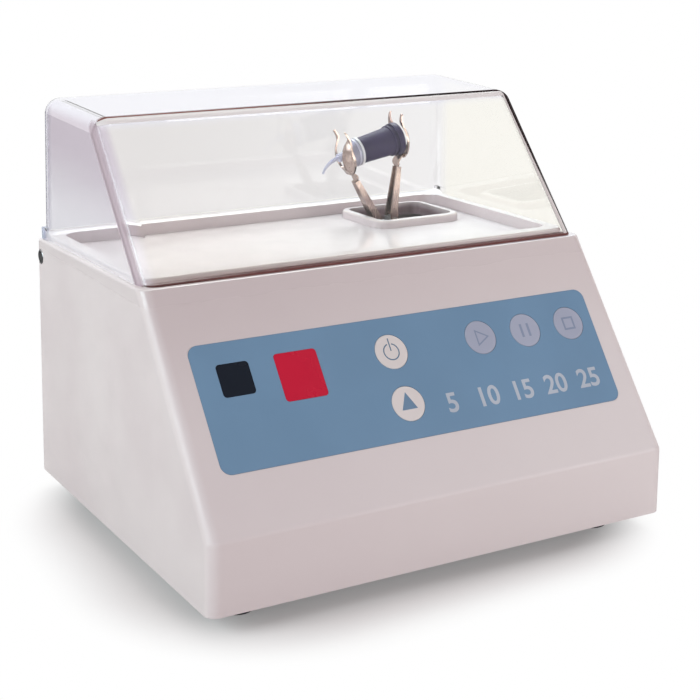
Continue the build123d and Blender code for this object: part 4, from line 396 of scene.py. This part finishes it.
def translucent(name, colour, rough, weight):
    """Milky moulded plastic that lets some light through."""
    tree = Tree(name)
    gloss = tree.ramp(tree.noise(300, 3), *NOISE_SPAN, rough, rough + 0.08)
    shader = tree.add("BsdfPrincipled", Roughness=gloss)
    shader.inputs["Subsurface Weight"].default_value = weight
    shader.inputs["Subsurface Radius"].default_value = (0.003, 0.003, 0.004)
    shader.inputs["Subsurface Scale"].default_value = 1.0
    shade = tuple(c * 0.86 for c in colour[:3]) + (1.0,)
    cloudy = tree.ramp(tree.noise(180, 3), 0.35, 0.65)
    tree.feed(shader.inputs["Base Color"], tree.blend(cloudy, colour, shade))
    tree.feed(shader.inputs["Normal"], tree.bump(tree.noise(900, 2), 0.00002))
    return tree.finish(shader.outputs["BSDF"])


# each slot's maker and what it is given after the name: colour, roughness, then grain or brush marks
MATERIALS = {
    "case_shell": (case_shell,),
    "clear_hood": (clear_hood,),
    "membrane_sheet": (moulded, linear(120, 154, 186), (0.38, 0.5), 0.00002, 3000, 0.03),
    "key_white": (moulded, linear(236, 226, 224), (0.35, 0.45), 0.00002, 3000, 0.02),
    "key_grey": (moulded, linear(178, 182, 202), (0.35, 0.45), 0.00002, 3000, 0.03),
    "red_window": (moulded, linear(216, 24, 60), (0.22, 0.3), 0.00001, 1500, 0.04),
    "dark_window": (moulded, linear(24, 31, 44), (0.2, 0.3), 0.00001, 1500, 0.05),
    "capsule_dark": (moulded, linear(62, 54, 88), (0.42, 0.52), 0.00003, 1800, 0.08, 0.15),
    "capsule_white": (moulded, linear(236, 234, 238), (0.3, 0.4), 0.00002, 1800, 0.03),
    "capsule_clear": (translucent, linear(208, 206, 228), 0.2, 0.3),
    # the fork sheet's heavy purple-grey patches are painted shade
    "fork_sheet": (metal, linear(178, 160, 152), (0.16, 0.3), (900, 900, 60), 0.00002, 0.8,
                   linear(96, 78, 86)),
    "cast_alloy": (metal, linear(196, 196, 200), (0.4, 0.55), (700, 700, 700), 0.00003),
    "bearing_steel": (metal, linear(205, 205, 208), (0.12, 0.2), (60, 800, 800)),
    "sheet_steel": (metal, linear(178, 180, 184), (0.3, 0.45), (30, 700, 700)),
    "screw_steel": (metal, linear(190, 190, 192), (0.25, 0.4), (500, 500, 500)),
    "motor_paint": (moulded, linear(48, 50, 54), (0.35, 0.5), 0.00006, 1200, 0.1),
    "laminated_steel": (metal, linear(120, 118, 116), (0.4, 0.55), (2200, 20, 20)),
    "copper_wire": (metal, linear(190, 104, 60), (0.25, 0.4), (1500, 30, 30), 0.00004),
    "bronze": (metal, linear(176, 130, 76), (0.35, 0.5), (600, 600, 600)),
    "soft_rubber": (moulded, linear(34, 34, 37), (0.6, 0.75), 0.00008, 1400, 0.12),
    "circuit_laminate": (moulded, linear(28, 88, 60), (0.3, 0.42), 0.00004, 500, 0.12),
    "black_plastic": (moulded, linear(28, 28, 31), (0.4, 0.52), 0.00006, 1600, 0.1),
    "fuse_glass": (translucent, linear(215, 222, 222), 0.08, 0.2),
}


def dress_frame():
    """Every CAD node gets its slot's material."""
    made = {slot: make(slot, *given) for slot, (make, *given) in MATERIALS.items()}
    for part in frame["record"]["subparts"]:
        node = frame["nodes"][part["node"]]
        node.data.materials.clear()
        node.data.materials.append(made[part["material_slot"]])


# ------------------------------------------------------------------ printed signs on the panel
def joint_axis(name):
    return Vector(next(j["axis"] for j in frame["joints"] if j["name"] == name)).normalized()


OUT = -joint_axis("key_power_press")         # away from the sloping panel
ACROSS = Vector((1, 0, 0))
UP = OUT.cross(ACROSS)
PRINT = 0.06 * MM                            # height of printed ink, drawn a little proud


def top_face(node):
    """Middle of a panel piece's outermost face."""
    points = [v.co for v in frame["nodes"][node].data.vertices]
    high = max(p.dot(OUT) for p in points)
    face = [p for p in points if p.dot(OUT) > high - 0.02 * MM]
    middle = lambda axis: (min(p.dot(axis) for p in face) + max(p.dot(axis) for p in face)) / 2
    return ACROSS * middle(ACROSS) + UP * middle(UP) + OUT * high


def on_panel(origin):
    """Matrix that lays a flat drawing, x across and y up the slope, at a point of the panel."""
    place = Matrix((ACROSS, UP, OUT)).transposed().to_4x4()
    place.translation = origin
    return place


def print_piece(curve, name, origin, body, material):
    """Turns a filled 2-D curve into a mesh piece that lies on the panel."""
    curve.extrude = PRINT / 2
    curve.fill_mode = "BOTH"
    holder = bpy.data.objects.new(name + "_curve", curve)
    bpy.context.scene.collection.objects.link(holder)
    depsgraph = bpy.context.evaluated_depsgraph_get()
    mesh = bpy.data.meshes.new_from_object(holder.evaluated_get(depsgraph))
    bpy.data.objects.remove(holder)
    mesh.name = name
    mesh.transform(on_panel(origin))
    mesh.materials.clear()
    mesh.materials.append(material)
    piece = bpy.data.objects.new(name, mesh)
    bpy.context.scene.collection.objects.link(piece)
    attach(piece, body)


def flat_curve(name, loops):
    curve = bpy.data.curves.new(name, "CURVE")
    curve.dimensions = "2D"
    for loop in loops:
        spline = curve.splines.new("POLY")
        spline.points.add(len(loop) - 1)
        for point, (x, y) in zip(spline.points, loop):
            point.co = (x * MM, y * MM, 0, 1)
        spline.use_cyclic_u = True
    return curve


def arc_band(radius, width, start, end, steps=40):
    """Outline of a circular band between two angles in degrees."""
    angles = [radians(start + (end - start) * i / steps) for i in range(steps + 1)]
    outer = [((radius + width / 2) * cos(a), (radius + width / 2) * sin(a)) for a in angles]
    inner = [((radius - width / 2) * cos(a), (radius - width / 2) * sin(a)) for a in reversed(angles)]
    return outer + inner


def bar(x0, x1, y0, y1):
    return [(x0, y0), (x1, y0), (x1, y1), (x0, y1)]


def polygon(radius, count, turn, squash=1.0):
    angles = [radians(turn + 360 * i / count) for i in range(count)]
    return [(radius * cos(a) * squash, radius * sin(a)) for a in angles]


INK = ((0.4, 0.5), 0.00001, 3000, 0.03)      # roughness, grain, its scale and mottling of printed ink


def add_signs():
    """Generic signs on the keys and a plain scale of figures in the long blank of the panel."""
    blue = moulded("ink_blue", linear(92, 122, 152), *INK)
    like_sheet = moulded("ink_sheet", linear(116, 146, 176), *INK)
    faint = moulded("ink_faint", linear(146, 156, 182), *INK)
    pale = moulded("ink_pale", linear(196, 202, 214), *INK)
    signs = {                # the pieces of each sign, and each piece's outer outline with its hole
        "key_power": (blue, [[arc_band(3.5, 0.5, 107, 433)], [bar(-0.25, 0.25, 0.4, 5.9)]]),
        "key_select": (like_sheet, [[polygon(5.0, 3, 90, 0.85)]]),
        "key_start": (faint, [[polygon(4.4, 3, 0), polygon(3.1, 3, 0)[::-1]]]),
        "key_pause": (faint, [[bar(-2.4, -1.2, -3, 3)], [bar(1.2, 2.4, -3, 3)]]),
        "key_stop": (faint, [[bar(-3, 3, -3, 3), bar(-2.1, 2.1, -2.1, 2.1)[::-1]]]),
    }
    for node, (material, pieces) in signs.items():
        for index, loops in enumerate(pieces):
            name = f"sign_{node[4:]}_{index}"
            print_piece(flat_curve(name, loops), name, top_face(node), node, material)
    add_scale(pale)


SCALE_FIRST = 0.0125         # x of the scale's first figure
SCALE_STEP = 0.0177
SCALE_FIGURES = ("5", "10", "15", "20", "25")
FIGURE_SIZE = 0.0118
FIGURE_WEIGHT = 0.00022      # how much each outline is thickened
SCALE_DROP = 0.0262          # below the row of round keys


def add_scale(material):
    """Plain figures along the blank part of the panel."""
    row = top_face("key_start")
    sheet = top_face("panel_sheet")
    for index, figure in enumerate(SCALE_FIGURES):
        x = SCALE_FIRST + index * SCALE_STEP
        origin = ACROSS * x + UP * (row.dot(UP) - SCALE_DROP) + OUT * sheet.dot(OUT)
        text = bpy.data.curves.new("figure", "FONT")
        text.body = figure
        text.size = FIGURE_SIZE
        text.offset = FIGURE_WEIGHT
        text.align_x = "CENTER"
        text.align_y = "CENTER"
        print_piece(text, f"scale_figure_{index + 1}", origin, "housing", material)


# ------------------------------------------------------------------ studio
AMBIENT = (0.37, 0.33, 0.335)
LAMPS = {                    # place, aim, size in metres and watts of red, green and blue
    "left": ((-1.2, -0.1, 0.6), (0, 0, 0.08), 0.7, (7.3, 8.8, 9.0)),
    "rear_right": ((0.5, 0.7, 1.1), (0, 0, 0.08), 0.7, (10, 11.2, 11)),
    "front_right": ((0.6, -0.8, 0.25), (0, 0, 0.05), 0.5, (2.6, 2.65, 2.68)),
}
STUDIO_DARK = 0.16           # what glossy surfaces see of the studio's dark side
FLOOR_DARK = 0.08            # and of its floor
FLOOR_SIZE = 6.0
FLOOR_NEAR = 0.18            # how much of the floor's white is its own glow beside the object
FLOOR_REACH = 0.036          # from the object to where the floor is pure white
FLOOR_ROUND = 0.060          # corners of the shadow's patch
FLOOR_LEAN = 0.06            # how much further the shadow reaches to the front left than to the rear right
FLOOR_LEAN_FROM = 0.12       # it reaches its plain distance where x + y is minus this
FLOOR_PAINT = (0.9, 0.85, 0.838, 1)
WHITE = (1, 1, 1, 1)


def add_lamps():
    for name, (place, aim, size, power) in LAMPS.items():
        data = bpy.data.lights.new(name, "AREA")
        data.shape = "SQUARE"
        data.size = size
        data.energy = max(power)
        data.color = [value / max(power) for value in power]
        lamp = bpy.data.objects.new(name, data)
        lamp.location = place
        lamp.rotation_euler = (Vector(aim) - Vector(place)).to_track_quat("-Z", "Y").to_euler()
        bpy.context.scene.collection.objects.link(lamp)


def add_world():
    """White to the camera and through glass; gloss sees a studio that is bright only behind the object."""
    world = bpy.data.worlds.new("studio")
    bpy.context.scene.world = world
    tree = Tree.of_world(world)
    glossy, straight = tree.sight()
    bright = tree.maths("MAXIMUM", tree.ramp(tree.axis("Y"), -0.15, 0.45, STUDIO_DARK, 1),
                        tree.ramp(tree.axis("X"), -0.7, -0.3, 0.6, 0))
    plain = tree.blend(glossy, (*AMBIENT, 1), bright)
    background = tree.add("Background", Strength=1.0)
    tree.feed(background.inputs["Color"], tree.blend(straight, plain, WHITE))
    tree.finish(background.outputs["Background"])


def add_floor():
    """Pale floor: its own glow makes it white away from the object and fades in a rounded patch round it that
    leans to the front left, a painted shadow patch inside which the real shadow stays.
    """
    mesh = bpy.data.meshes.new("floor")
    half = FLOOR_SIZE / 2
    corners = [(-half, -half, 0), (half, -half, 0), (half, half, 0), (-half, half, 0)]
    mesh.from_pydata(corners, [], [(0, 1, 2, 3)])
    floor = bpy.data.objects.new("floor", mesh)
    bpy.context.scene.collection.objects.link(floor)
    tree = Tree("floor")
    low, high = CAD_BOX
    middle = ((low[0] + high[0]) / 2, (low[1] + high[1]) / 2, 0)
    room = ((high[0] - low[0]) / 2 - FLOOR_ROUND, (high[1] - low[1]) / 2 - FLOOR_ROUND, 1)
    # painted shadow: the glow thins out in a patch round the object
    off = tree.vector("ABSOLUTE", tree.vector("SUBTRACT", tree.where, middle))
    beyond = tree.vector("MAXIMUM", tree.vector("SUBTRACT", off, room), (0, 0, 0))
    away = tree.maths("SUBTRACT", tree.vector("LENGTH", beyond), FLOOR_ROUND)
    lean = tree.maths("ADD", tree.vector("DOT_PRODUCT", tree.where, (1, 1, 0)), FLOOR_LEAN_FROM)
    away = tree.maths("ADD", away, tree.maths("MULTIPLY", lean, FLOOR_LEAN))
    share = tree.ramp(away, 0, FLOOR_REACH, FLOOR_NEAR, 1)
    glossy, straight = tree.sight()
    paint = tree.add("BsdfDiffuse", Color=FLOOR_PAINT).outputs["BSDF"]
    glow = tree.add("Emission", Color=WHITE, Strength=1.0).outputs["Emission"]
    dim = tree.add("Emission", Color=WHITE, Strength=FLOOR_DARK).outputs["Emission"]
    lit = tree.mixed(tree.maths("MULTIPLY", straight, share), paint, glow)
    surface = tree.mixed(tree.maths("SUBTRACT", glossy, straight), lit, dim)
    mesh.materials.append(tree.finish(surface))


add_camera()
dress_frame()
add_signs()
add_world()
add_floor()
add_lamps()
bpy.context.scene.view_settings.view_transform = "Standard"
